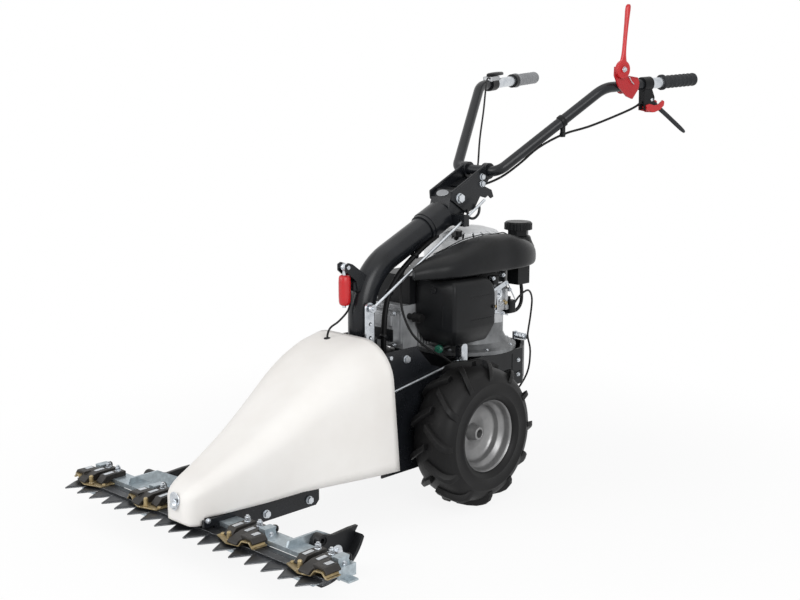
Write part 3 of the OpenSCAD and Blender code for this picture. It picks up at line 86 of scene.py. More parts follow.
# %% [markdown]
# ## Shared effects
# Real paint, plastic and plate are never one flat colour. Four small effects are wrapped as node groups, so that
# every finish can use them with its own values: uneven colour, worn edges, settled dust, and a fine grain. The
# worn edges also carry a painted edge highlight on the yellow zinc plate.
# A group only puts out colours, masks and heights. The shader itself stays in each finish.

# %% Node helpers


def fill(tree, made, inputs):
    """Links each input of a node to a socket, or sets it to a plain number, vector or colour."""
    for key, value in inputs.items():
        if isinstance(value, bpy.types.NodeSocket):
            tree.links.new(value, made.inputs[key])
        else:
            made.inputs[key].default_value = value


def node(tree, kind, inputs=None, **settings):
    """A new node with its settings and its inputs."""
    made = tree.nodes.new(kind)
    for key, value in settings.items():
        setattr(made, key, value)
    fill(tree, made, inputs or {})
    return made


def maths(tree, operation, a, b, clamp=False):
    """The result of a maths node; a and b are sockets or plain numbers."""
    return node(tree, "ShaderNodeMath", {0: a, 1: b}, operation=operation, use_clamp=clamp).outputs[0]


def noise(tree, place, scale, detail, roughness):
    """The value of a noise texture."""
    return node(tree, "ShaderNodeTexNoise", {"Vector": place, "Scale": scale, "Detail": detail,
                                             "Roughness": roughness}).outputs["Fac"]


def remap(tree, value, low, high, to_low=0.0, to_high=1.0, **settings):
    """A value between low and high, moved to lie between two other ends."""
    return node(tree, "ShaderNodeMapRange", {"Value": value, "From Min": low, "From Max": high,
                                             "To Min": to_low, "To Max": to_high}, **settings).outputs[0]


def blend_colours(tree, mask, first, second):
    """Mix of two colours by a mask. Inputs 6 and 7 and output 2 are the mix node's colours."""
    return node(tree, "ShaderNodeMix", {"Factor": mask, 6: first, 7: second}, data_type="RGBA").outputs[2]


def new_group(name, inputs, outputs):
    """An empty shader group, its inputs and its end. Both dictionaries give each socket's kind."""
    group = bpy.data.node_groups.new(name, "ShaderNodeTree")
    for way, sockets in (("INPUT", inputs), ("OUTPUT", outputs)):
        for label, kind in sockets.items():
            group.interface.new_socket(name=label, in_out=way, socket_type="NodeSocket" + kind)
    print("effect:", name)
    return group, node(group, "NodeGroupInput").outputs, node(group, "NodeGroupOutput")


# %% Uneven colour: two shades in soft clouds

uneven_colour, given, result = new_group(
    "uneven_colour", {"Place": "Vector", "Light": "Color", "Dark": "Color", "Scale": "Float"}, {"Colour": "Color"})
clouds = remap(uneven_colour, noise(uneven_colour, given["Place"], given["Scale"], 4.0, 0.6), 0.3, 0.7)
fill(uneven_colour, result, {"Colour": blend_colours(uneven_colour, clouds, given["Dark"], given["Light"])})

# %% Worn edges and a painted edge highlight: where a rounded normal departs from the flat one

EDGE_RADIUS, CHIP_SCALE = 0.0009, 120.0
worn_and_highlit_edges, given, result = new_group(
    "worn_and_highlit_edges", {"Place": "Vector", "Amount": "Float"}, {"Mask": "Float", "Normal": "Vector"})
rounded = node(worn_and_highlit_edges, "ShaderNodeBevel", {"Radius": EDGE_RADIUS}, samples=4).outputs[0]
flat = node(worn_and_highlit_edges, "ShaderNodeNewGeometry").outputs["Normal"]
facing = node(worn_and_highlit_edges, "ShaderNodeVectorMath", {0: rounded, 1: flat}, operation="DOT_PRODUCT").outputs["Value"]
chips = noise(worn_and_highlit_edges, given["Place"], CHIP_SCALE, 5.0, 0.7)
broken = maths(worn_and_highlit_edges, "GREATER_THAN", chips, maths(worn_and_highlit_edges, "SUBTRACT", 1.0, given["Amount"]))
edge = maths(worn_and_highlit_edges, "MULTIPLY", remap(worn_and_highlit_edges, facing, 0.985, 0.86), broken)
fill(worn_and_highlit_edges, result, {"Mask": edge, "Normal": rounded})

# %% Settled dust: on faces that look up, in clouds

settled_dust, given, result = new_group("settled_dust", {"Place": "Vector", "Amount": "Float"}, {"Mask": "Float"})
normal = node(settled_dust, "ShaderNodeNewGeometry").outputs["Normal"]
upward = node(settled_dust, "ShaderNodeSeparateXYZ", {0: normal}).outputs["Z"]
film = maths(settled_dust, "MULTIPLY", noise(settled_dust, given["Place"], 35.0, 6.0, 0.65),
             remap(settled_dust, upward, 0.2, 1.0))
fill(settled_dust, result, {"Mask": maths(settled_dust, "MULTIPLY", film, given["Amount"], clamp=True)})

# %% Fine grain: the height of a moulded, cast or painted skin, and smears in its gloss

fine_grain, given, result = new_group(
    "fine_grain", {"Place": "Vector", "Scale": "Float", "Pits": "Float"}, {"Height": "Float", "Gloss": "Float"})
peel = noise(fine_grain, given["Place"], given["Scale"], 3.0, 0.55)
cells = node(fine_grain, "ShaderNodeTexVoronoi", {"Vector": given["Place"], "Scale": given["Scale"]})
holes = maths(fine_grain, "MULTIPLY", cells.outputs["Distance"], given["Pits"])
fill(fine_grain, result, {"Height": maths(fine_grain, "ADD", peel, holes),
                          "Gloss": noise(fine_grain, given["Place"], 14.0, 5.0, 0.6)})

# %% [markdown]
# ## Finishes
# Each finish names its two shades, its roughness and its grain. Paint shows bare metal where an edge is worn,
# and plate is metal with a slightly uneven gloss. On the yellow zinc plate the pale colour on the edges is a
# painted highlight. One function makes them all, so the differences between the finishes stand in one short
# table. Colours are given as seen on a screen, 0 to 255.

# %% A function for finishes

DUST_COLOUR = (150, 146, 138)
RELIEF_DEPTH, COAT_ROUGHNESS = 0.0006, 0.15


def shade(r, g, b):
    """A colour as seen on a screen, as the linear value that a shader needs."""
    return tuple(((c / 255 + 0.055) / 1.055) ** 2.4 if c > 10 else c / 255 / 12.92 for c in (r, g, b)) + (1.0,)


def finish(name, light, dark, rough, metal=0.0, grain=900.0, bump=0.08, pits=0.3, clouds_at=18.0,
           edge_wear_and_highlight=None, edge_wear_and_highlight_amount=0.45, dust=0.0, specular=0.5, coat=0.0, stretch=(1, 1, 1)):
    """One finish: uneven colour, edge wear and painted edge highlight, dust and grain around a single shader."""
    made = bpy.data.materials.new(name)
    made.use_nodes = True
    tree = made.node_tree
    where = node(tree, "ShaderNodeTexCoord").outputs["Object"]
    if stretch != (1, 1, 1):
        where = node(tree, "ShaderNodeMapping", {"Vector": where, "Scale": stretch}).outputs[0]

    def effect(group, **values):
        """The outputs of a shared effect, with its values for this finish."""
        return node(tree, "ShaderNodeGroup", {"Place": where, **values}, node_tree=group).outputs

    colour = effect(uneven_colour, Light=shade(*light), Dark=shade(*dark), Scale=clouds_at)["Colour"]
    edges = effect(worn_and_highlit_edges, Amount=edge_wear_and_highlight_amount if edge_wear_and_highlight else 0.0)
    skin = effect(fine_grain, Scale=grain, Pits=pits)
    # Edge colour: bare metal where paint is worn; on the yellow zinc plate it is a painted edge highlight.
    if edge_wear_and_highlight:
        colour = blend_colours(tree, edges["Mask"], colour, shade(*edge_wear_and_highlight))
    if dust:
        colour = blend_colours(tree, effect(settled_dust, Amount=dust)["Mask"], colour, shade(*DUST_COLOUR))
    relief = node(tree, "ShaderNodeBump", {"Height": skin["Height"], "Normal": edges["Normal"], "Strength": bump,
                                           "Distance": RELIEF_DEPTH})
    fill(tree, tree.nodes["Principled BSDF"], {
        "Base Color": colour, "Normal": relief.outputs[0], "Metallic": metal, "Specular IOR Level": specular,
        "Roughness": remap(tree, skin["Gloss"], 0.3, 0.7, rough * 0.86, min(1.0, rough * 1.14)),
        "Coat Weight": coat, "Coat Roughness": COAT_ROUGHNESS})
    return made


# %% The finishes of this machine

F = {
    "white_plastic": finish("white_cover_plastic", (238, 236, 233), (231, 228, 224), 0.55, grain=1400, bump=0.05,
        clouds_at=6.0, specular=0.35),
    "black_paint": finish("black_satin_paint", (27, 29, 33), (18, 20, 23), 0.28, bump=0.05, edge_wear_and_highlight=(70, 73, 76),
        edge_wear_and_highlight_amount=0.4, specular=0.3, dust=0.03),
    "dark_cast": finish("black_painted_casting", (22, 24, 27), (14, 15, 17), 0.42, grain=420, bump=0.25, pits=0.6,
        edge_wear_and_highlight=(74, 77, 80), edge_wear_and_highlight_amount=0.38, specular=0.26, dust=0.04),
    "black_plastic": finish("black_moulded_plastic", (26, 27, 29), (18, 19, 20), 0.36, grain=1300, bump=0.08,
        pits=0.6, specular=0.16, dust=0.02),
    "grey_plastic": finish("grey_starter_plastic", (236, 238, 240), (222, 224, 226), 0.32, grain=1100, bump=0.06),
    "aluminium": finish("cast_aluminium", (186, 188, 190), (138, 140, 143), 0.4, metal=0.4, grain=520, bump=0.3,
        pits=0.8, edge_wear_and_highlight=(190, 191, 192), edge_wear_and_highlight_amount=0.5, dust=0.1),
    "steel": finish("turned_steel", (168, 170, 172), (140, 142, 145), 0.3, metal=1.0, bump=0.06),
    "tyre": finish("tyre_rubber", (15, 15, 16), (9, 9, 10), 0.5, grain=700, bump=0.25, pits=0.5, edge_wear_and_highlight=(58, 58, 58),
        edge_wear_and_highlight_amount=0.55, dust=0.02, specular=0.22),
    "rim_silver": finish("silver_rim_paint", (142, 142, 142), (116, 116, 117), 0.36, metal=0.6, bump=0.05,
        edge_wear_and_highlight=(200, 201, 202), edge_wear_and_highlight_amount=0.4),
    "black_rubber": finish("black_rubber", (18, 18, 19), (12, 12, 13), 0.55, grain=1200, bump=0.1, specular=0.22),
    "green_plastic": finish("green_dipstick_plastic", (18, 92, 72), (12, 72, 58), 0.4, bump=0.06),
    "grip_rubber": finish("dark_grip_rubber", (44, 46, 49), (32, 34, 37), 0.62, grain=900, bump=0.2, pits=0.5,
        specular=0.26, dust=0.04),
    "red_paint": finish("red_paint", (186, 26, 34), (166, 20, 28), 0.36, bump=0.05, edge_wear_and_highlight=(120, 100, 98),
        edge_wear_and_highlight_amount=0.35),
    "red_plastic": finish("red_plastic", (196, 24, 30), (176, 18, 24), 0.34, bump=0.06, coat=0.15),
    "zinc": finish("zinc_plate", (214, 218, 222), (182, 187, 193), 0.28, metal=0.9, bump=0.06, clouds_at=60.0),
    "knife_steel": finish("ground_knife_steel", (74, 76, 79), (44, 46, 49), 0.4, metal=0.8, grain=600, bump=0.1,
        edge_wear_and_highlight=(176, 178, 180), edge_wear_and_highlight_amount=0.6, stretch=(1, 0.2, 1)),
    "galvanised": finish("galvanised_plate", (186, 197, 203), (150, 160, 166), 0.4, metal=0.75, bump=0.08,
        clouds_at=90.0),
    # Yellow zinc: the pale beige on its edges is a painted edge highlight, not wear.
    "gold_zinc": finish("yellow_zinc_plate_with_painted_edge_highlight", (176, 158, 118), (124, 108, 76), 0.4, metal=0.7, bump=0.08,
        clouds_at=50.0, edge_wear_and_highlight=(220, 214, 196), edge_wear_and_highlight_amount=0.5),
    "pad_iron": finish("dark_pad_iron", (48, 45, 42), (30, 28, 27), 0.48, metal=0.3, grain=420, bump=0.3, pits=0.8,
        edge_wear_and_highlight=(128, 124, 118), edge_wear_and_highlight_amount=0.5),
}
print("finishes:", len(F))

# %% [markdown]
# ## Dressing the CAD solids
# The record says which finish each solid has, so the finishes are handed out from it. They could be named here one
# by one, but then a new solid would stay bare. The crankcase is a duller casting. Nothing here moves a solid.

# %% Finishes on the CAD solids

for part in frame["record"]["subparts"]:
    solid = nodes[part["node"]]
    solid.data.materials.clear()
    solid.data.materials.append(F[part["material_slot"]])
dull_case = finish("dull_engine_casting", (132, 134, 136), (84, 86, 88), 0.46, metal=0.45, grain=420, bump=0.35,
                   pits=0.9, edge_wear_and_highlight=(186, 187, 188), edge_wear_and_highlight_amount=0.5, dust=0.08)
nodes["crankcase"].data.materials[0] = dull_case
print("dressed", len(nodes), "solids")

# %% [markdown]
# ## Tools for new pieces
# Most new pieces are a few turned, cut or extruded shapes joined in one mesh. Each shape is laid on one bench, a
# bmesh, and piece() then takes all that lies there as one object. The shapes are made in place by bmesh operators,
# so each finished object sits at the origin like a CAD solid.

# %% Shapes that the pieces share

UP, FRONT, LEFT = (0, 0, 1), (0, -1, 0), (1, 0, 0)
bench = bmesh.new()


def frame_along(a, b):
    """A matrix at point a whose Z axis runs to point b."""
    way = (Vector(b) - Vector(a)).normalized()
    return Matrix.Translation(a) @ way.to_track_quat("Z", "Y").to_matrix().to_4x4()


def drum(a, b, r1, r2=None, sides=28):
    """A round or many-sided bar from a to b, in millimetres of the drawing."""
    a, b = spot(*a), spot(*b)
    place = frame_along(a, b) @ Matrix.Translation((0, 0, (b - a).length / 2))
    bmesh.ops.create_cone(bench, cap_ends=True, segments=sides, radius1=r1 / 1000,
                          radius2=(r1 if r2 is None else r2) / 1000, depth=(b - a).length, matrix=place)


def slab(low, high):
    """A box between two corners, in millimetres of the drawing."""
    a, b = spot(*low), spot(*high)
    place = Matrix.Translation((a + b) / 2) @ Matrix.Diagonal((*(b - a), 1.0))
    bmesh.ops.create_cube(bench, size=1.0, matrix=place)


def plate(outline, way):
    """A flat plate: an outline of drawing points, thickened along a vector in millimetres."""
    face = bench.faces.new([bench.verts.new(spot(*p)) for p in outline])
    grown = bmesh.ops.extrude_face_region(bench, geom=[face])["geom"]
    moved = [g for g in grown if isinstance(g, bmesh.types.BMVert)]
    bmesh.ops.translate(bench, verts=moved, vec=Vector(way) / 1000)


def turned(profile, centre, axis, steps):
    """A profile of (radius, height) points in millimetres, spun once around an axis."""
    place = frame_along(spot(*centre), spot(*centre) + Vector(axis))
    points = [bench.verts.new(place @ Vector((r / 1000, 0, h / 1000))) for r, h in profile]
    lines = [bench.edges.new(pair) for pair in zip(points, points[1:])]
    bmesh.ops.spin(bench, geom=points + lines, cent=place.translation, axis=Vector(axis).normalized(),
                   angle=math.tau, steps=steps, use_merge=True, use_duplicate=False)


def bolt(at, axis, size, washer=True):
    """A hexagon head on a washer that stands on a point, with the end of its thread."""
    foot, axis = Vector(at), Vector(axis).normalized()
    if washer:
        drum(foot, foot + axis * 0.2 * size, 1.08 * size)
        foot = foot + axis * 0.2 * size
    drum(foot, foot + axis * 0.5 * size, 0.93 * size, sides=6)
    drum(foot + axis * 0.5 * size, foot + axis * 0.66 * size, 0.93 * size, 0.74 * size, sides=6)
    drum(foot + axis * 0.6 * size, foot + axis * 0.9 * size, 0.45 * size, sides=16)


# %% From the bench to an object


def lift(name):
    """Takes the shapes off the bench as one object."""
    mesh = bpy.data.meshes.new(name)
    bench.to_mesh(mesh)
    bench.clear()
    made = bpy.data.objects.new(name, mesh)
    bpy.context.scene.collection.objects.link(made)
    return made


def piece(name, body, slot_name, look=None, bevel=0.0, levels=0, wall=0.0, sharp=32.0):
    """Makes one object of all that lies on the bench, gives it its finish and lets it ride on a body."""
    bmesh.ops.remove_doubles(bench, verts=bench.verts, dist=1e-6)
    bmesh.ops.recalc_face_normals(bench, faces=bench.faces)
    made = lift(name)
    mesh = made.data
    mesh.materials.append(look or F[slot_name])
    mesh.shade_smooth()
    mesh.set_sharp_from_angle(angle=math.radians(sharp))
    if wall:
        skin = made.modifiers.new("wall", "SOLIDIFY")
        skin.thickness, skin.offset, skin.use_even_offset = wall / 1000, -1.0, True
    if bevel:
        soft_edge = made.modifiers.new("soft_edges", "BEVEL")
        soft_edge.width, soft_edge.segments, soft_edge.limit_method = bevel / 1000, 2, "ANGLE"
        soft_edge.angle_limit, soft_edge.harden_normals = math.radians(40), True
    if levels:
        round_off = made.modifiers.new("rounding", "SUBSURF")
        round_off.levels = round_off.render_levels = levels
    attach(made, body)
    print(f"{name}: {len(mesh.polygons)} faces")
    return made


print("bench ready")

# %% [markdown]
# ## Cables and the fuel hose
# Two control cables come down from the handlebar, two run on along the machine, one leaves the red-gripped
# lever, and a short hose feeds the carburettor. Each is a Bowden cable or hose that is held at both ends, so it
# keeps a stiff, even curve. A curve object with a round section is simpler than a swept mesh and stays smooth.

# %% Cable routes, in millimetres of the drawing

DECK = 330
routes = {
    "clutch_cable_upper": ("handlebar", 6, [
        (235.4, 622.5, 624), (226, 600, 609), (204, 548, 588), (178, 470, 563), (153, 394, 545), (124, 330, 513),
        (96, 296, 476), (62, 276, 445), (38, 258, 428), (20, 238, 419), (18, 214, 422.4)]),
    "throttle_cable_upper": ("handlebar", 5, [
        (-208.4, 531, 681.5), (-196, 505, 682), (-172, 470, 662), (-120, 400, 600), (-66, 322, 526),
        (-30, 272, 454), (-20, 242, 420), (-18, 216, 423.6)]),
    "clutch_cable_lower": ("machine", 6, [
        (8, 34, 282), (14, -20, 258), (30, -70, 226), (50, -98, 185), (70, -112, 140), (94, -104, 90),
        (116, -74, 54), (129, -30, 26), (129.5, 0, 4), (127, 20, -16), (120.7, 28, -30)]),
    "throttle_cable_lower": ("machine", 5, [
        (153, 201.6, 125), (148, 232, 144), (130, 290, 150), (112, 330, 122), (98, 344, 75), (90, 345, 30),
        (89.3, 345, 11), (88, 358, -30), (84, 350, -90), (74, 300, -140), (60, 220, -148), (50, 150, -130)]),
    "pull_cable": ("machine", 5, [
        (0, -217.2, 197), (0, -217.2, 175), (-4, -222, 150), (-14, -242, 126), (-22, -262, 112), (-24, -270, 94),
        (-24, -270, 66)]),
    "fuel_hose": ("machine", 9, [
        (120, 273, 169.6), (122, 274, 148), (130, 262, 122), (138, 235, 108), (140, 200, 107), (140, 164.4, 110)]),
}


def smooth_route(points, steps=4):
    """A smooth curve through points, each a Vector."""
    last = len(points) - 1
    line = []
    for i in range(last):
        a, b, c, d = points[max(i - 1, 0)], points[i], points[i + 1], points[min(i + 2, last)]
        for k in range(steps):
            t = k / steps
            line.append(0.5 * (2 * b + (c - a) * t + (2 * a - 5 * b + 4 * c - d) * t * t
                               + (3 * b - a - 3 * c + d) * t ** 3))
    return line + [points[last]]


def tube(name, line, diameter, body, slot_name):
    """A round tube along a line of points, as a curve."""
    data = bpy.data.curves.new(name, "CURVE")
    data.dimensions = "3D"
    data.bevel_depth = diameter / 2000
    data.bevel_resolution = 3
    data.use_fill_caps = True
    spline = data.splines.new("POLY")
    spline.points.add(len(line) - 1)
    for knot, place in zip(spline.points, line):
        knot.co = (*place, 1.0)
    spline.use_smooth = True
    made = bpy.data.objects.new(name, data)
    bpy.context.scene.collection.objects.link(made)
    data.materials.append(F[slot_name])
    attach(made, body)
    return made


for name, (body, diameter, points) in routes.items():
    line = smooth_route([spot(x, y, z + DECK) for x, y, z in points])
    cable = tube(name, line, diameter, body, "black_rubber")
    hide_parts("handle_cables" if body == "handlebar" else "machine_cables")

# %% [markdown]
# ## The white nose cover
# The real cover is one vacuum-formed or blow-moulded shell: a blunt nose that widens and rises to an arch in
# front of the column. It could be a box with a subdivision surface, but its sections are known from the drawing,
# so a grid is laid over those sections and given its wall by a Solidify modifier.

# %% Cover shell

# place along the machine, half width, top, foot, shoulder radius, lean
cover_sections = [
    (-735, 24, 150, 95.2, 14, 0), (-728, 38, 161, 91.2, 20, 0), (-715, 46, 172, 90.2, 24, 0),
    (-704, 49, 179, 90.2, 26, 0), (-698, 51, 182, 106, 27, 0), (-657, 60, 200, 106, 32, 0),
    (-557, 84, 252, 111, 46, 0), (-469, 107, 308, 120, 60, 0), (-378, 127, 372, 120, 74, 0),
    (-300, 141, 410, 118, 84, 8), (-232, 150, 426, 116, 90, 28)]


def section_at(y):
    """Section values at a place along the cover: the feet step, the rest runs smoothly."""
    ys = [s[0] for s in cover_sections]
    i = max(0, min(len(ys) - 2, sum(v <= y for v in ys) - 1))
    a, b, c, d = (Vector(cover_sections[min(max(k, 0), len(ys) - 1)][1:]) for k in (i - 1, i, i + 1, i + 2))
    y0, y1 = ys[i], ys[i + 1]
    t = (y - y0) / (y1 - y0)
    before = (c - a) * ((y1 - y0) / (y1 - ys[max(i - 1, 0)]))
    after = (d - b) * ((y1 - y0) / (ys[min(i + 2, len(ys) - 1)] - y0))
    made = (2 * t ** 3 - 3 * t * t + 1) * b + (t ** 3 - 2 * t * t + t) * before
    made += (-2 * t ** 3 + 3 * t * t) * c + (t ** 3 - t * t) * after
    made[2] = b[2] + (c[2] - b[2]) * t
    return made


def cover_shell():
    """A grid: rows run from the middle line of the flat nose to the rear edge, columns from foot to foot."""
    nose = [(-735, 0.0), (-735, 0.3), (-735, 0.6), (-735, 0.85), (-734.7, 0.95)]
    rows = nose + [(y, 1.0) for y in (-733.5, -731, -728, -722, -715, -709, -704, -702, -700, -698, -690, -678)]
    rows += [(-657 + 425 * k / 36, 1.0) for k in range(37)]
    around = 44
    bmesh.ops.create_grid(bench, x_segments=around, y_segments=len(rows) - 1, size=1.0)
    for v in bench.verts:
        u = (v.co.x + 1) / 2
        y, share = rows[round((v.co.y + 1) / 2 * (len(rows) - 1))]
        half, top, foot, r, lean = section_at(y)
        side = 1 if u < 0.5 else -1
        q = min(u, 1 - u) * 2
        if q < 0.4:
            x, z = half, foot + (top - r - foot) * q / 0.4
        elif q < 0.75:
            turn = (q - 0.4) / 0.35 * math.pi / 2
            x, z = half - r + r * math.cos(turn), top - r + r * math.sin(turn)
        else:
            x, z = (half - r) * (1 - q) / 0.25, top
        lean_y = y + lean * (1 - (z - foot) / (top - foot))
        v.co = spot(side * x * share, lean_y, z - (1 - share) * 2.0 * (z > 130))


cover_shell()
shell = piece("nose_cover", "machine", "white_plastic", wall=3.5, sharp=60)
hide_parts("front_cover")

# %% Grommet where the pull cable enters the cover

turned([(3, 0), (8, 0), (9, 1.5), (8, 4), (4.5, 5), (3, 5), (3, 0)], (-24, -270, 415), UP, 32)
piece("cover_grommet", "machine", "black_rubber")

# %% [markdown]
# ## The fuel tank
# The tank wraps around the starter like a horseshoe. It is blow-moulded: round outside, with a crisp crest where
# its top folds down to the starter. Each section stands on a plan line across the ring, so a grid is bent around
# the ring, its two ends are drawn in, and a subdivision modifier takes the facets away.

# %% Tank shell

TANK_Z, CRANK_Y = 549, 195
# inner point and outer point in plan, and height, of each section from rear right to front left
tank_sections = []
for a in range(125, -11, -15):
    turn = math.radians(a)
    high = 91 - 0.12 * max(0, 30 - a) - 0.82 * min(38, max(0, a - 4)) - 0.26 * max(0, a - 45)
    far = 172 + 12 * max(0, 1 - abs(a - 45) / 50)
    tank_sections.append(((113 * math.cos(turn), 113 * math.sin(turn) + CRANK_Y),
                          (far * math.cos(turn), far * math.sin(turn) + CRANK_Y), high))
tank_sections += [((104, 137), (172, 129), 88), ((90, 80), (172, 62), 80), ((80, 26), (168, 0), 62),
                  ((77, -14), (152, -46), 52), ((79, -42), (130, -66), 44),
                  ((80, -70), (114, -88), 36), ((82, -92), (102, -104), 27)]
# one section: share of the way out, share of the height
tank_ring = [(0.02, 0), (0.5, 0), (0.86, 0), (0.97, 0.05), (1, 0.18), (1, 0.42), (0.975, 0.57), (0.92, 0.7),
             (0.82, 0.82), (0.66, 0.92), (0.45, 0.98), (0.22, 1), (0.06, 1), (0.0, 0.96), (0.0, 0.5), (0.0, 0.05)]


def tank_point(section, out, up, draw=1.0):
    """A point of a section; draw below 1 pulls it to the middle of the section."""
    inner, outer, high = section
    out, up = 0.5 + (out - 0.5) * draw, 0.45 + (up - 0.45) * draw
    x, y = (a + (b - a) * out for a, b in zip(inner, outer))
    return spot(x, y, TANK_Z + high * up)


def tank_shell():
    """A grid: rows follow the horseshoe, columns run once round a section and close on the first."""
    first, last = tank_sections[0], tank_sections[-1]
    rows = [(first, 0.0), (first, 0.7), (first, 0.94)] + [(s, 1.0) for s in tank_sections]
    rows += [(last, 0.94), (last, 0.7), (last, 0.0)]
    ring = tank_ring + tank_ring[:1]
    bmesh.ops.create_grid(bench, x_segments=len(ring) - 1, y_segments=len(rows) - 1, size=1.0)
    for v in bench.verts:
        section, draw = rows[round((v.co.y + 1) / 2 * (len(rows) - 1))]
        out, up = ring[round((v.co.x + 1) / 2 * (len(ring) - 1))]
        v.co = tank_point(section, out, up, draw)


tank_shell()
tank = piece("tank_shell", "machine", "black_plastic", levels=2, sharp=180)
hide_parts("fuel_tank")

# %% Bead along the crest and collar under the cap

CAP_X, CAP_Y = 94.75, 289.75
crest = smooth_route([tank_point(s, 0.03, 1.0) for s in tank_sections[:-3]])
tube("tank_crest_bead", crest, 2.6, "machine", "black_plastic")
turned([(25, 618.4), (30, 618.4), (32, 616), (34, 609), (37.5, 601), (42, 592), (42, 586), (25, 586), (25, 618.4)],
       (CAP_X, CAP_Y, 0), UP, 48)
piece("tank_neck_collar", "machine", "black_plastic", sharp=60)

# %% [markdown]
# ## Wheels
# A pneumatic tyre with bars that meet in an arrow, on a two-part pressed rim. Tyre and rim are round, so each is
# one profile spun around the axle. A bar of the tread could be a bent block; here it is a row of small sections
# that follow the tread over the shoulder, so its top stays flat and its foot stays in the rubber.

# %% Tyre carcass and bars

AXLE_Z, WHEEL_X = 177, 196
BARS, BAR_LEAN, TREAD_R = 12, math.tan(math.radians(38)), 170
SIDES = (("left", 1), ("right", -1))
# tyre section from the bead to the middle: radius and half width, with two faint rings on the side wall
tyre_half = [(86, 43), (88, 52), (94, 58.5), (99, 60.4), (101, 61.6), (103.5, 61.6), (105, 60.6), (116, 61.4),
             (127, 61.2), (129, 61.9), (131, 61.9), (133, 60.6), (141, 58), (149, 53.5), (155.5, 46.5), (160, 38),
             (162.6, 26), (163.8, 12)]
# sections of a bar: distance from the middle, radius of its top and of its foot
bar_rows = [(-3, 176.6, 150), (18, 176.8, 150), (36, 175.2, 150), (48, 171.0, 146), (56.5, 162.0, 142),
            (60.3, 150.0, 138)]


def tread_bars(wheel_x, side):
    """The bars on one half of the tread. Each leans, is flat on top and rounds down over the shoulder."""
    for k in range(BARS):
        start = math.radians((k + (0.5 if side > 0 else 0.0)) * 360 / BARS)
        loops = []
        for across, top, foot in bar_rows:
            middle = start + BAR_LEAN * max(across, 0) / TREAD_R
            wide = 15.5 - 0.05 * max(across - 30, 0)
            loop = []
            for radius, share in ((foot, -0.62), (top - 1.6, -0.5), (top, -0.41),
                                  (top, 0.41), (top - 1.6, 0.5), (foot, 0.62)):
                turn = middle + share * wide / TREAD_R
                loop.append(bench.verts.new(spot(wheel_x + side * across, radius * math.cos(turn),
                                                 AXLE_Z + radius * math.sin(turn))))
            loops.append(loop)
        for one, two in zip(loops, loops[1:]):
            for i in range(5):
                bench.faces.new((one[i], one[i + 1], two[i + 1], two[i]))
        for loop in (loops[0], loops[-1]):
            bench.faces.new(loop)


for label, sign in SIDES:
    profile = [(r, sign * w) for r, w in tyre_half] + [(164, 0)] + [(r, -sign * w) for r, w in reversed(tyre_half)]
    turned(profile, (sign * WHEEL_X, 0, AXLE_Z), LEFT, 120)
    carcass = piece(label + "_tyre_carcass", "axle", "tyre", sharp=50)
    tread_bars(sign * WHEEL_X, 1)
    tread_bars(sign * WHEEL_X, -1)
    bars = piece(label + "_tread_bars", "axle", "tyre", sharp=35, bevel=1.2)
    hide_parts("tyres")
    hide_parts("tyres")

# %% Rims: a pressed barrel with its disc and hub, as one closed profile

# radius and distance outwards: hub and face, outer half of the barrel, back of the face and hub
rim_face = [(10.1, 23), (11, 24), (15, 24), (16, 23.2), (20.2, 1), (21.4, -2.6), (24, -4), (45, -4), (49, -3.4),
            (64, 4), (68.6, 7), (70.6, 11)]
rim_barrel = [(71, 20), (72.4, 23), (79.6, 27.8), (82.4, 31), (83.2, 35), (83.8, 45), (85.2, 48.4), (88.4, 51.4),
              (90.4, 53.4), (91.8, 54), (93, 53.6), (93.5, 52.4), (93.1, 51.2), (87.4, 48.2), (86.4, 46), (86, 28),
              (74, 20)]
rim_back = [(70.6, 0.6), (68.6, 2), (49, -7.4), (45, -8), (24, -8), (21.4, -9.4), (20.2, -13), (16, -57.2),
            (15, -58), (11, -58), (10.1, -57)]
rim_profile = rim_face + rim_barrel + [(r, -w) for r, w in reversed(rim_barrel)] + rim_back + rim_face[:1]
for label, sign in SIDES:
    turned(rim_profile, (sign * WHEEL_X, 0, AXLE_Z), (sign, 0, 0), 120)
    rim = piece(label + "_rim_shell", "axle", "rim_silver", sharp=40)
    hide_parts("rims")

# %% [markdown]
# ## Levers on the left grip
# The red lever sets the handlebar and the clutch lever hangs below the grip. Both are moulded around a flat
# metal bar, so they have soft, flat-oval sections. They could be bevelled plates; ovals that are set along a line
# and bridged follow the taper better, and a subdivision modifier rounds the result.

# %% A frame for the handlebar arms

arm_start = Vector((209, 488, 992))
arm_end = Vector((272, 810, 1011))
grip_along = (arm_end - arm_start).normalized()
grip_out = grip_along.cross(Vector(UP)).normalized()
grip_up = grip_out.cross(grip_along)


def on_arm(out, along, up, side=1):
    """A drawing point from distances along the left arm; side -1 is the right arm."""
    p = arm_start + grip_out * out + grip_along * along + grip_up * up
    return (side * p.x, p.y, p.z)


def loft(rings):
    """Bridges closed rings of drawing points and closes the two ends."""
    loops = []
    for ring in rings:
        points = [bench.verts.new(spot(*p)) for p in ring]
        loops.append([bench.edges.new((points[i - 1], points[i])) for i in range(len(points))])
    for one, two in zip(loops, loops[1:]):
        bmesh.ops.bridge_loops(bench, edges=one + two)
    bmesh.ops.holes_fill(bench, edges=loops[0] + loops[-1], sides=64)


def oval(centre, wide_way, wide, tall_way, tall, count=12, square=1.0):
    """A ring around a centre; square below 1 fills its corners."""
    ring = []
    for k in range(count):
        turn = math.tau * (k + 0.5) / count
        c, s = math.cos(turn), math.sin(turn)
        c, s = math.copysign(abs(c) ** square, c), math.copysign(abs(s) ** square, s)
        ring.append(Vector(centre) + Vector(wide_way) * wide * c + Vector(tall_way) * tall * s)
    return ring


print("arm from", [round(v) for v in arm_start], "along", [round(v, 3) for v in grip_along])

# %% Red lever

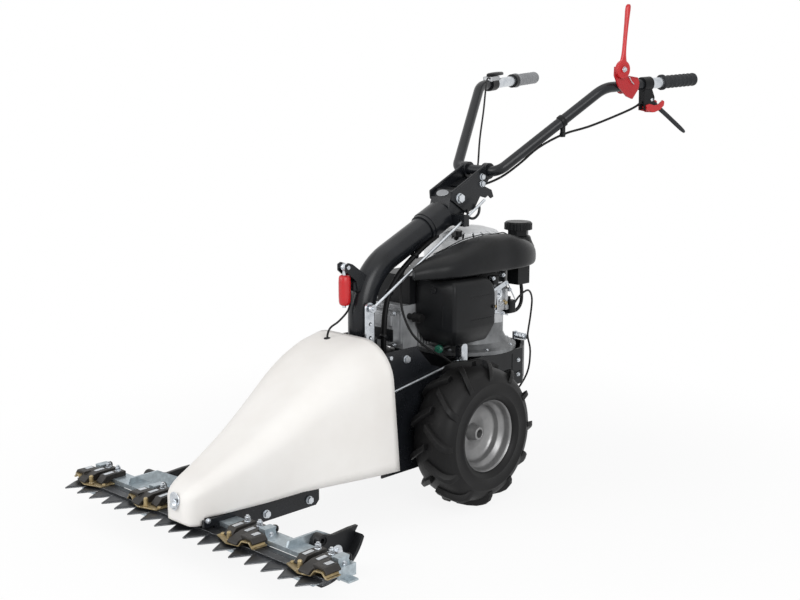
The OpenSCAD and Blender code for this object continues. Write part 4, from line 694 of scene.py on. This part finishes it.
pivot = [j["pos_m"] for j in frame["record"]["behaviour"]["joints"] if j["name"] == "red_lever_swing"][0]
pivot = (Vector(pivot) - spot(0, 0, 0)) * 1000 - arm_start
RED_S, RED_UP, RED_OUT = pivot.dot(grip_along), pivot.dot(grip_up), 21
# height over the pivot, half width, half thickness, lean along the arm
lever_at = [(8, 17, 4.8, 0.5), (18, 13, 5, 1.5), (28, 9.4, 5.2, 3), (40, 6.8, 5.4, 4.5), (56, 5.8, 5.5, 6.4),
            (76, 5.7, 5.6, 9), (98, 6, 5.7, 12.2), (122, 6.8, 5.9, 15.8), (140, 8, 6.3, 18.6),
            (152, 8.6, 6.5, 20.5), (159, 7.6, 5.7, 21.7), (163, 4.4, 3.6, 22.3)]
loft([oval(on_arm(RED_OUT + 5.5, RED_S + lean, RED_UP + up), grip_along, half, grip_out, thick)
      for up, half, thick, lean in lever_at])
lever_blade = piece("red_lever_blade", "red_lever", "red_plastic", levels=2, sharp=180)
turned([(0, 0), (21, 0), (23, 1.6), (23, 9), (21.4, 10.6), (15, 11), (13.6, 9.4), (9, 9.4), (8.4, 11.6), (0, 11.6)],
       on_arm(RED_OUT - 0.2, RED_S, RED_UP), grip_out, 64)
lever_hub = piece("red_lever_hub", "red_lever", "red_plastic", sharp=35)
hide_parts("red_lever")
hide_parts("red_lever")

# %% Bolt and wire spring of the red lever

bolt(on_arm(RED_OUT + 11.4, RED_S, RED_UP), grip_out, 6.5)
piece("red_lever_bolt", "red_lever", "zinc", bevel=0.3)
wire = [(-4, 46, 2), (3, 42, 4), (4, 34, 10), (4, 29, 17), (3, 26, 22), (-4, 25, 24)]
wire_line = smooth_route([spot(*on_arm(RED_OUT + out, RED_S + along, up)) for out, along, up in wire])
tube("red_lever_wire", wire_line, 2.2, "handlebar", "zinc")

# %% Clutch lever

CLUTCH_S, CLUTCH_UP = 160, -42
# distance along the arm and up from the pivot, half height, half thickness
blade_at = [(-8, 2, 5, 5.2), (-4, 1, 7.6, 5.6), (4, -2, 8.6, 5.2), (20, -12, 7.6, 4.6), (40, -26, 6.6, 4.6),
            (64, -43, 6.4, 5), (92, -64, 6.4, 5.4), (118, -83.5, 6.2, 5.6), (132, -94, 5.4, 5), (138, -98.5, 3, 3)]
rings = []
for i, (along, up, tall, thick) in enumerate(blade_at):
    a, b = blade_at[max(i - 1, 0)], blade_at[min(i + 1, len(blade_at) - 1)]
    way = Vector((b[0] - a[0], b[1] - a[1])).normalized()
    across = grip_along * -way.y + grip_up * way.x
    rings.append(oval(on_arm(0, CLUTCH_S + along, CLUTCH_UP + up), across, tall, grip_out, thick))
loft(rings)
blade = piece("clutch_lever_blade", "clutch_lever", "black_paint", look=F["grip_rubber"], levels=2, sharp=180)
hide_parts("clutch_lever")
for sign in (1, -1):
    bolt(on_arm(11 * sign, CLUTCH_S, CLUTCH_UP), grip_out * sign, 5, washer=False)
piece("clutch_pivot_bolt", "clutch_lever", "zinc", bevel=0.3)

# %% [markdown]
# ## Hold-downs on the cutter bar
# Each gold spring plate carries two dark pads that press the upper knife down. On the real bar the pads have a
# bright ground strip, a round pin stands between them, and studs with nuts hold them at the rear. The whole could
# be one casting; separate plates and turned bits take their own finishes, which is what the eye sees here.

# %% Pads

BEAM_TOP, PAD_TOP, SPRING_TOP = 94, 106, 87.45
stations = [(sign, s) for sign in (1, -1) for s in (157, 377)]
# the outer pad's bridge over the hump of the spring: place across and height
bridge = [(29, 88.6), (37, 99), (55, 99), (61, 91), (64, 95), (56, 105), (34, PAD_TOP), (24, PAD_TOP)]
for label, left, right, nose in (("inner", -38, -14, -700), ("outer", -1, 29, -722)):
    outline = [(-632, BEAM_TOP), (-632, PAD_TOP), (-664, PAD_TOP), (-686, 105), (nose + 6, 96.5), (nose, 91.5),
               (nose, 87.5), (-680, 87.5), (-668, BEAM_TOP)]
    for sign, s in stations:
        plate([(sign * (s + left), y, z) for y, z in outline], (sign * (right - left), 0, 0))
        if label == "outer":
            plate([(sign * (s + x), -706, z) for x, z in bridge], (0, 40, 0))
    pads = piece(label + "_pads", "machine", "pad_iron", bevel=1.4)
    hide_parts("hold_down_pads")

# %% Bright strips and gold pins

strip = ((-684, 105), (-660, 106), (-660, 107.2), (-684, 106.2))
for sign, s in stations:
    for low, high in ((-31, -21), (9, 19)):
        plate([(sign * (s + low), y, z) for y, z in strip], (sign * (high - low), 0, 0))
    plate([(sign * (s + x), y, 105.4) for x, y in ((38, -690), (38, -672), (50, -672), (50, -690))], (0, 0, 1.4))
piece("pad_strips", "machine", "zinc", bevel=0.4)
tall_pin = [(0, 19), (3.4, 18.4), (5, 16), (5.2, 8), (5.6, 2), (7.4, 1.4), (7.4, 0), (0, 0)]
low_pin = [(0, 4), (3, 3.6), (4.6, 2), (5, 0), (0, 0)]
for sign, s in stations:
    turned(tall_pin, (sign * (s - 9), -709, SPRING_TOP), UP, 24)
    turned(low_pin, (sign * (s - 44), -698, SPRING_TOP), UP, 20)
piece("spring_pins", "machine", "gold_zinc")

# %% Studs, nuts and knobs at the rear

knob_profile = [(0, 16), (6, 15), (8.4, 12), (9, 8), (8, 4), (6, 3), (6, 0), (0, 0)]
for sign, s in stations:
    for x in (-26, 14):
        for low, high, radius, sides in ((PAD_TOP, 120, 3.6, 18), (111.5, 116, 6.6, 6)):
            drum((sign * (s + x), -646, low), (sign * (s + x), -646, high), radius, sides=sides)
    bolt((sign * (s - 6), -650, BEAM_TOP), UP, 7)
    bolt((sign * (s + 46), -644, BEAM_TOP), UP, 7)
piece("hold_down_studs", "machine", "zinc", bevel=0.35)
for sign, s in stations:
    turned(knob_profile, (sign * (s + 40), -628, BEAM_TOP), UP, 28)
piece("beam_knobs", "machine", "black_rubber")

# %% [markdown]
# ## Rivets and liner
# Every knife section is held by two low rivets, and a dark liner closes the gap between the knife backs and the
# beams. A rivet could be a hole with a plug; a low spun dome shows the same and leaves the knives whole.

# %% Rivets that hold the knife sections

PITCH = 50.8
for label, y, height, way in (("upper", -711, 79.65, 1), ("lower", -697, 69.35, -1)):
    for k in range(-8, 9):
        for x in (-11, 11):
            turned([(0, 1.1), (1.8, 0.8), (2.9, 0)], (k * PITCH + x, y, height), (0, 0, way), 10)
    piece(label + "_rivets", label + "_knife", "knife_steel", sharp=60)

# %% Dark liner between the knife backs and the beams

for sign in (1, -1):
    slab((sign * 47, -684, 75), (sign * 429, -668.2, 83.4))
piece("bar_liner", "machine", "black_paint", bevel=0.8)

# %% [markdown]
# ## Skids
# Each skid is a cast fin with a wide sole, and a bolt in a slot sets its height. The fin is a plate whose outline
# follows the sole, and the sole is a strip along the same circle, made wide. They could be cut from a turned ring,
# but two outlines from one circle keep both to the drawing's radius.

# %% Skid fins and soles

SKID_X, SKID_Y, SKID_R = 290, -600, 125


def skid_point(degrees, radius):
    """A point on the skid's circle, measured from straight down towards the rear."""
    turn = math.radians(degrees)
    return (SKID_Y + radius * math.sin(turn), SKID_R - radius * math.cos(turn))


fin_top = [(-480, 96), (-504, 96), (-528, 94.4), (-550, 93), (-570, 97), (-586, 106), (-598, 106), (-607, 99),
           (-612, 86), (-613, 40)]
fin_line = [skid_point(a, 118) for a in range(0, 71, 5)] + fin_top
sole_line = [skid_point(a, SKID_R) for a in range(-4, 71, 3)] + [skid_point(a, 117.5) for a in range(70, -5, -3)]
boss_profile = [(5.5, 0), (13, 0), (14, 1.4), (14, 22.6), (13, 24), (9.6, 24), (9.2, 21), (5.5, 21), (5.5, 0)]
for label, sign in SIDES:
    body = label + "_skid"
    plate([(sign * (SKID_X - 6), y, z) for y, z in fin_line], (sign * 12, 0, 0))
    fin = piece(body + "_fin", body, "black_paint", look=F["dark_cast"], bevel=2.2)
    plate([(sign * (SKID_X - 28), y, z) for y, z in sole_line], (sign * 56, 0, 0))
    sole = piece(body + "_sole", body, "black_paint", look=F["dark_cast"], bevel=1.8)
    turned(boss_profile, (sign * (SKID_X - 6), SKID_Y + 8, 94), (sign, 0, 0), 40)
    boss = piece(body + "_boss", body, "black_paint", look=F["dark_cast"])
    for made in (fin, sole, boss):
        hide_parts(body)

# %% [markdown]
# ## Air box
# The air box is a deep moulding with drafted sides, a chamfered foot and a rounded top. Rings of one rounded
# outline, drawn in at the foot and the top, give that shape more surely than bevels on a box.

# %% Air box

CORNER_STEPS = 6


def soft_outline(x0, x1, y0, y1, r, z):
    """A rounded rectangle at one height."""
    ring = []
    for cx, cy, start in ((x1 - r, y1 - r, 0), (x0 + r, y1 - r, 90), (x0 + r, y0 + r, 180), (x1 - r, y0 + r, 270)):
        for k in range(CORNER_STEPS + 1):
            turn = math.radians(start + 90 * k / CORNER_STEPS)
            ring.append((cx + r * math.cos(turn), cy + r * math.sin(turn), z))
    return ring


# height, draw at the sides, draw at the rear
box_levels = [(385, 24, 0), (388, 20, 0), (410, 8, 0), (424, 1.5, 0), (430, 0, 0), (500, 0, 0), (514, 0.4, 3),
              (526, 1.5, 8), (536, 4, 15), (542, 9, 22), (545, 17, 30)]
loft([soft_outline(46 + inset * 0.3, 176 - inset, -46 + inset, 108 - inset * 0.4 - back, 9, z)
      for z, inset, back in box_levels])
air_box = piece("air_box_shell", "machine", "black_plastic", sharp=30)
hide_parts("air_filter_box")
slab((136, -47, 436), (139, -45, 492))
slab((175.4, 14, 444), (176.8, 92, 446))
slab((175.4, 14, 500), (176.8, 92, 502))
turned([(0, 4), (7, 4), (8, 3), (8, 0), (0, 0)], (110, -46, 520), FRONT, 28)
turned([(0, 3), (4, 3), (4.6, 2.4), (4.6, 0), (0, 0)], (176, 96, 470), LEFT, 24)
piece("air_box_ribs", "machine", "black_plastic", bevel=0.4)

# %% [markdown]
# ## Carburettor
# Behind the air box sits a busy little casting: plates and rods that work the throttle, a return spring, a float
# bowl, black blocks, screws and brass jets. A full model of it would be lost at this size, so each kind of part is
# a few cuts and turned bits, set where the photograph shows metal.

# %% Linkage and return spring

plate([(150, 112, 470), (150, 150, 470), (150, 156, 500), (150, 138, 512), (150, 114, 508)], (3, 0, 0))
plate([(158, 120, 496), (158, 168, 512), (158, 172, 520), (158, 164, 524), (158, 116, 508)], (2, 0, 0))
plate([(162, 118, 448), (162, 126, 448), (162, 132, 486), (162, 124, 488)], (2, 0, 0))
for y, z in ((120, 502), (166, 517), (142, 476), (122, 452), (128, 484)):
    bolt((160, y, z), LEFT, 4, washer=False)
drum((161, 126, 450), (161, 172, 436), 1.6, sides=10)
drum((156, 172, 522), (156, 206, 470), 1.4, sides=10)
piece("carburettor_linkage", "machine", "zinc", bevel=0.3)
COIL_R, COIL_STEPS = 4.2, 12
coil = []
for step in range(9 * COIL_STEPS):
    turn = math.tau * step / COIL_STEPS
    coil.append(spot(160 + COIL_R * math.cos(turn), 134 + 0.32 * step, 466 + COIL_R * math.sin(turn)))
tube("carburettor_spring", coil, 1.2, "machine", "zinc")

# %% Blocks, bowl, screws and jets

loft([soft_outline(140 - k, 166 + k, 176 - k, 196 + k, 5, z) for z, k in ((440, 0), (441, 1), (470, 1), (472, 0))])
loft([soft_outline(142, 164, 112, 132, 4, z) for z in (520, 540)])
drum((150, 186, 472), (150, 186, 480), 6, sides=24)
piece("carburettor_blocks", "machine", "black_plastic", bevel=0.8)
turned([(0, 0), (16, 0), (17, 2), (17, 15), (20, 17), (20, 20), (15, 22), (13, 34), (0, 36)], (146, 150, 452), UP, 40)
piece("carburettor_bowl", "machine", "aluminium")
turned([(0, 4), (11, 4), (12, 6), (15, 7), (17.4, 5), (18, 3), (18, 0), (0, 0)], (154, 134, 494), LEFT, 40)
drum((160, 134, 494), (168, 134, 494), 3, sides=6)
for y, z in ((112, 536), (150, 540), (176, 500), (150, 444)):
    drum((152, y, z), (164, y, z), 5, sides=18)
    drum((164, y, z), (167, y, z), 3.6, sides=6)
piece("carburettor_screws", "machine", "steel", look=F["zinc"], bevel=0.4)
turned([(0, 9), (4, 9), (5, 8), (5, 3), (7, 2.4), (7, 0), (0, 0)], (160, 156, 470), LEFT, 24)
turned([(0, 7), (3, 7), (3.6, 6), (3.6, 0), (0, 0)], (160, 118, 466), LEFT, 20)
piece("carburettor_jets", "machine", "gold_zinc", bevel=0.3)

# %% [markdown]
# ## Bolts and panels on the engine, and the red grip
# Bolts hold the flange, the valve cover and the clutch housing. The cover's panels stay plain. The grip is a soft
# moulding on the pull lever's wire. Bolts could be instances of one mesh; joined in one piece they stay in place
# as a single object.

# %% Engine bolts

DECK_TOP, FLANGE_R = 339, 122
for k in range(8):
    turn = math.radians(22.5 + 45 * k)
    bolt((FLANGE_R * math.cos(turn), CRANK_Y + FLANGE_R * math.sin(turn), DECK_TOP), UP, 6)
for x in (-44, 44):
    for z in (386, 464):
        bolt((x, -114, z), FRONT, 5)
for y in (84, 260):
    for z in (300, 262):
        bolt((126, y, z), LEFT, 5)
piece("engine_bolts", "machine", "zinc", bevel=0.4)

# %% Valve cover panels

slab((-40, -117, 394), (40, -113, 424))
piece("valve_cover_panel", "machine", "aluminium", look=F["dark_cast"], bevel=1.6)
slab((-36, -118, 432), (36, -113, 458))
for z in (462, 469, 476):
    slab((-58, -104, z), (58, -98, z + 2.5))
piece("valve_cover_ridge", "machine", "aluminium", bevel=1.2)

# %% Moulded grip on the pull lever

turned([(4.6, 7), (9, 7), (12.4, 5), (13.8, 0), (14.4, -10), (14.4, -44), (13.8, -56), (12.2, -62), (8, -65), (0, -66)],
       (0, -236, 560), UP, 48)
pull_grip = piece("pull_lever_grip", "pull_lever", "red_plastic", sharp=60)
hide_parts("column_lever_grip")

# %% [markdown]
# ## Rail under the column
# A slim black rail follows the underside of the bent column and keeps the controls off the engine. It is a strip
# that is swept along the bend: ovals on the column's own line, offset to its left and bridged. A bevelled curve
# would be round; the ovals keep it flat.

# %% Column rail

rail_knots = ((24, 58, 634), (25, 10, 612), (26, -40, 583), (27, -84, 551), (29, -116, 514), (31, -132, 470),
              (32, -138, 425), (32, -139, 380), (32, -139, 345))
rail_line = smooth_route([Vector(p) for p in rail_knots], 3)
across = Vector(LEFT)
rings = []
for i, p in enumerate(rail_line):
    way = (rail_line[min(i + 1, len(rail_line) - 1)] - rail_line[max(i - 1, 0)]).normalized()
    rings.append(oval(p, across, 7, way.cross(across).normalized(), 5, 12, 0.6))
loft(rings)
piece("column_rail", "machine", "black_rubber", sharp=50)
for at in (5, 12, 19):
    ends = [rail_line[at] + Vector((0, d * 0.7, d * 0.7)) for d in (-4, 4)]
    loft([oval(p, LEFT, 10, (0, -0.7, 0.7), 8, 16, 0.7) for p in ends])
piece("rail_clips", "machine", "black_plastic", bevel=0.8)

# %% [markdown]
# ## Handlebar fittings
# The grips are moulded rubber with finger grooves; the right one is silver grey. Between the clamps and the grips
# the tube is bright. The throttle is a flat domed cap on a pale base. All of these are turned or lofted around
# the line of the arm, so they follow its slope without any rotation of the objects.

# %% Grips and bright tube ends

silver_grip = finish("silver_grip_rubber", (150, 152, 155), (124, 126, 129), 0.42, metal=0.25, grain=800, bump=0.15)
GRIP_FROM, GRIP_LONG = 205.7, 128
grip_profile = [(14, 0), (19.6, 0), (20.5, 1.2), (20.5, 6.4), (19.4, 8), (17.6, 9.4)]
for k in range(7):
    at = 13 + 15.2 * k
    grip_profile += [(17.5, at), (16.6, at + 3), (15.7, at + 6.4), (16.2, at + 10.5), (17.3, at + 13.8)]
grip_profile += [(17.5, 121), (16.6, 124.6), (14, 127.4), (9, GRIP_LONG), (0, GRIP_LONG)]
for label, side, look in (("left", 1, F["grip_rubber"]), ("right", -1, silver_grip)):
    way = Vector((side * grip_along.x, grip_along.y, grip_along.z))
    turned(grip_profile, on_arm(0, GRIP_FROM, 0, side), way, 48)
    moulded = piece(label + "_grip", "handlebar", "grip_rubber", look=look, sharp=50)
    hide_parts("grips")
    start, stop = (164.4, GRIP_FROM) if side > 0 else (80.4, 187.4)
    sleeve = [(13.55, 0), (14.1, 0), (14.1, stop - start), (13.55, stop - start), (13.55, 0)]
    turned(sleeve, on_arm(0, start, 0, side), way, 48)
    piece(label + "_bright_tube", "handlebar", "zinc")

# %% Throttle cap and base


def throttle_ring(share, up):
    """An egg-shaped ring around the throttle's pivot, narrow towards the grip."""
    ring = []
    for k in range(32):
        turn = math.tau * k / 32
        along = 28 + 45 * share * math.cos(turn)
        wide = (15.5 - 7 * max(0.0, along) / 74) * share
        ring.append(on_arm(wide * math.sin(turn), 62 + along, up, -1))
    return ring


cap_rings = ((0.97, 22.4), (1, 23.4), (1, 26.6), (0.95, 29), (0.8, 30.8), (0.45, 31.8))
loft([throttle_ring(share, up) for share, up in cap_rings])
cap = piece("throttle_cap", "throttle_lever", "black_plastic", sharp=50)
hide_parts("throttle_lever")
base_rings = []
for grow, up in ((-1.5, 7.5), (0, 9), (0, 20), (-1, 21.4)):
    flat = soft_outline(-16 - grow, 16 + grow, 40 - grow, 92 + grow, 9, 0)
    base_rings.append([on_arm(x, y, up, -1) for x, y, _ in flat])
loft(base_rings)
piece("throttle_base", "handlebar", "aluminium", sharp=40)

# %% [markdown]
# ## Handle bracket
# A folded channel carries the handlebar on the column's head. Its cheeks have rolled upper edges, a hook plate
# at the rear and a bent hook below for the cables, and a plain oval disc covers the head. The small clip on the left
# arm holds the clutch cable. The channel is a solid already, so only what rounds it off is added here.

# %% Rolled edges and hooks

for x in (-35.5, 35.5):
    drum((x, 97, 737.4), (x, 222, 796.4), 3.4, sides=18)
hook_plate = ((204, 722), (222, 746), (250, 735), (258, 717), (248, 713), (238, 722), (226, 716))
plate([(33.4, y, z) for y, z in hook_plate], (4.4, 0, 0))
piece("bracket_edges", "handlebar", "black_paint", bevel=0.8)
hook = [(38.5, 156, 690), (44, 150, 684), (49, 146, 676), (50, 158, 670), (50, 172, 671), (50, 184, 680),
        (49, 189, 692), (46, 190, 702)]
tube("bracket_hook", smooth_route([spot(*p) for p in hook]), 7, "handlebar", "black_paint")

# %% Disc on the head and clip on the arm

HEAD_COS, HEAD_SIN = 0.743, 0.669
disc_rings = []
for share, lift_off in ((1, -0.4), (1, 1), (0.92, 1.9), (0.84, 1.5), (0.5, 1.8), (0.15, 1.9)):
    ring = []
    for k in range(40):
        turn = math.tau * k / 40
        ring.append((-4 + 20 * share * math.cos(turn),
                     107.6 + 11 * share * HEAD_COS * math.sin(turn) - HEAD_SIN * lift_off,
                     733.9 + 11 * share * HEAD_SIN * math.sin(turn) + HEAD_COS * lift_off))
    disc_rings.append(ring)
loft(disc_rings)
piece("head_disc", "machine", "steel", sharp=50)
ARM_LOW = Vector((70, 236, 784))
clip_way = (arm_start - ARM_LOW).normalized()
clip_profile = [(13.7, -6), (15.6, -6), (16.2, -5), (16.2, 5), (15.6, 6), (13.7, 6), (13.7, -6)]
turned(clip_profile, (153.4, 387.2, 908.8), clip_way, 40)
slab((149.5, 385, 868), (157, 398, 897))
drum((147.5, 391, 875), (159, 391, 875), 6, sides=20)
piece("cable_clip", "handlebar", "black_plastic", bevel=0.6)

# %% [markdown]
# ## Small fittings
# A green dipstick looks out from under the air box, a dished washer sits in the nose, a bolt holds the cover's
# foot, and black discs on the axle ends are painted shade for the dark hub bores. Each is a few turned bits;
# cutting them into the solids would change shapes that the joints and checks rely on.

# %% Oil dipstick

foot, top = Vector((62, 111, 366)), Vector((104, -18, 371))
way = (top - foot).normalized()
drum(top - way * 52, top, 7, sides=24)
drum(top - way * 6, top, 9, sides=24)
stem = piece("dipstick_stem", "machine", "green_plastic", look=F["black_plastic"], bevel=0.5)
drum(top, top + way * 8, 10.5, 11, sides=10)
drum(top + way * 8, top + way * 11, 11, 8, sides=10)
tab, half_tab = top + way * 12, Vector((7, 2, 2))
slab(tab - half_tab, tab + half_tab)
knob = piece("dipstick_knob", "machine", "green_plastic", bevel=0.8)
for made in (stem, knob):
    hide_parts("dipstick")

# %% Nose dish, foot bolt and painted shade discs on the axle ends

dish = [(0, 0.5), (10, 0.6), (14, 2.6), (16, 2.8), (16.6, 1.6), (15.6, 0), (0, -0.5)]
turned(dish, (0, -735, 145), FRONT, 48)
piece("nose_dish", "machine", "zinc")
bolt((64, -699, 103), LEFT, 6)
piece("arch_bolt", "machine", "zinc", bevel=0.4)
# Black discs on the axle ends are painted shade: they stand in for the dark bore of each hub.
painted_shade_disc = [(0, 0.4), (8.6, 0.4), (8.8, 1.6), (11.6, 1.6), (12, 0.6), (12, -0.4), (0, -0.4)]
for sign in (1, -1):
    face = sign * axle_high.x * 1000
    turned(painted_shade_disc, (face, 0, AXLE_Z), (sign, 0, 0), 40)
    drum((face, 0, AXLE_Z), (face + sign * 2.6, 0, AXLE_Z), 4.4, sides=6)
piece("axle_end_painted_shade_discs", "axle", "steel", look=F["black_rubber"], bevel=0.3)

# %% [markdown]
# ## Floor and light
# A white studio: a pale floor that keeps a soft shadow, a white background for the camera and for reflections,
# and three large soft lamps. The lamps stay at a plain level, so that a colour shows about as it is written.

# %% Floor


def seen_rays(tree):
    """1 for rays that show a surface to the camera, a reflection or a clear piece, 0 for the rest."""
    rays = node(tree, "ShaderNodeLightPath").outputs
    mirrored = maths(tree, "MAXIMUM", rays["Is Camera Ray"], rays["Is Glossy Ray"])
    return maths(tree, "MAXIMUM", mirrored, rays["Is Transmission Ray"])


def floor_paper():
    """A pale, matt paper that turns to pure white away from the machine."""
    made = bpy.data.materials.new("pale_floor")
    made.use_nodes = True
    tree = made.node_tree
    paper = tree.nodes["Principled BSDF"]
    fill(tree, paper, {"Base Color": (0.93, 0.93, 0.93, 1), "Roughness": 0.9, "Specular IOR Level": 0.1})
    where = node(tree, "ShaderNodeTexCoord").outputs["Object"]
    far = node(tree, "ShaderNodeVectorMath", {0: where}, operation="LENGTH").outputs["Value"]
    fade = remap(tree, far, 0.55, 1.5, 0.88, interpolation_type="SMOOTHSTEP")
    glow = node(tree, "ShaderNodeEmission", {"Color": (1, 1, 1, 1), "Strength": 1.0})
    share = maths(tree, "MULTIPLY", seen_rays(tree), fade)
    both = node(tree, "ShaderNodeMixShader", {0: share, 1: paper.outputs[0], 2: glow.outputs[0]})
    fill(tree, tree.nodes["Material Output"], {"Surface": both.outputs[0]})
    return made


bmesh.ops.create_circle(bench, cap_ends=True, segments=96, radius=14.0)
floor = lift("studio_floor")
floor.data.materials.append(floor_paper())
print("floor ready")

# %% World and lamps

world = bpy.data.worlds.new("studio")
bpy.context.scene.world = world
world.use_nodes = True
sky = world.node_tree
sky.nodes.clear()
soft, white = (node(sky, "ShaderNodeBackground", {"Color": (1, 1, 1, 1), "Strength": s}) for s in (0.45, 1.0))
either = node(sky, "ShaderNodeMixShader", {0: seen_rays(sky), 1: soft.outputs[0], 2: white.outputs[0]})
node(sky, "ShaderNodeOutputWorld", {"Surface": either.outputs[0]})


def soft_lamp(name, place, aim, size, watts):
    """A square soft lamp that looks at a point."""
    data = bpy.data.lights.new(name, "AREA")
    data.shape = "SQUARE"
    data.size = size
    data.energy = watts
    lamp = bpy.data.objects.new(name, data)
    lamp.location = place
    lamp.rotation_euler = (Vector(aim) - Vector(place)).to_track_quat("-Z", "Y").to_euler()
    bpy.context.scene.collection.objects.link(lamp)


MIDDLE = (0, 0, 0.4)
soft_lamp("overhead_lamp", (0.2, -0.4, 3.6), MIDDLE, 3.2, 16)
soft_lamp("left_lamp", (3.2, -1.6, 2.0), MIDDLE, 2.2, 72)
soft_lamp("front_lamp", (-1.6, -3.4, 1.9), MIDDLE, 2.2, 50)
bpy.context.scene.view_settings.view_transform = "Standard"
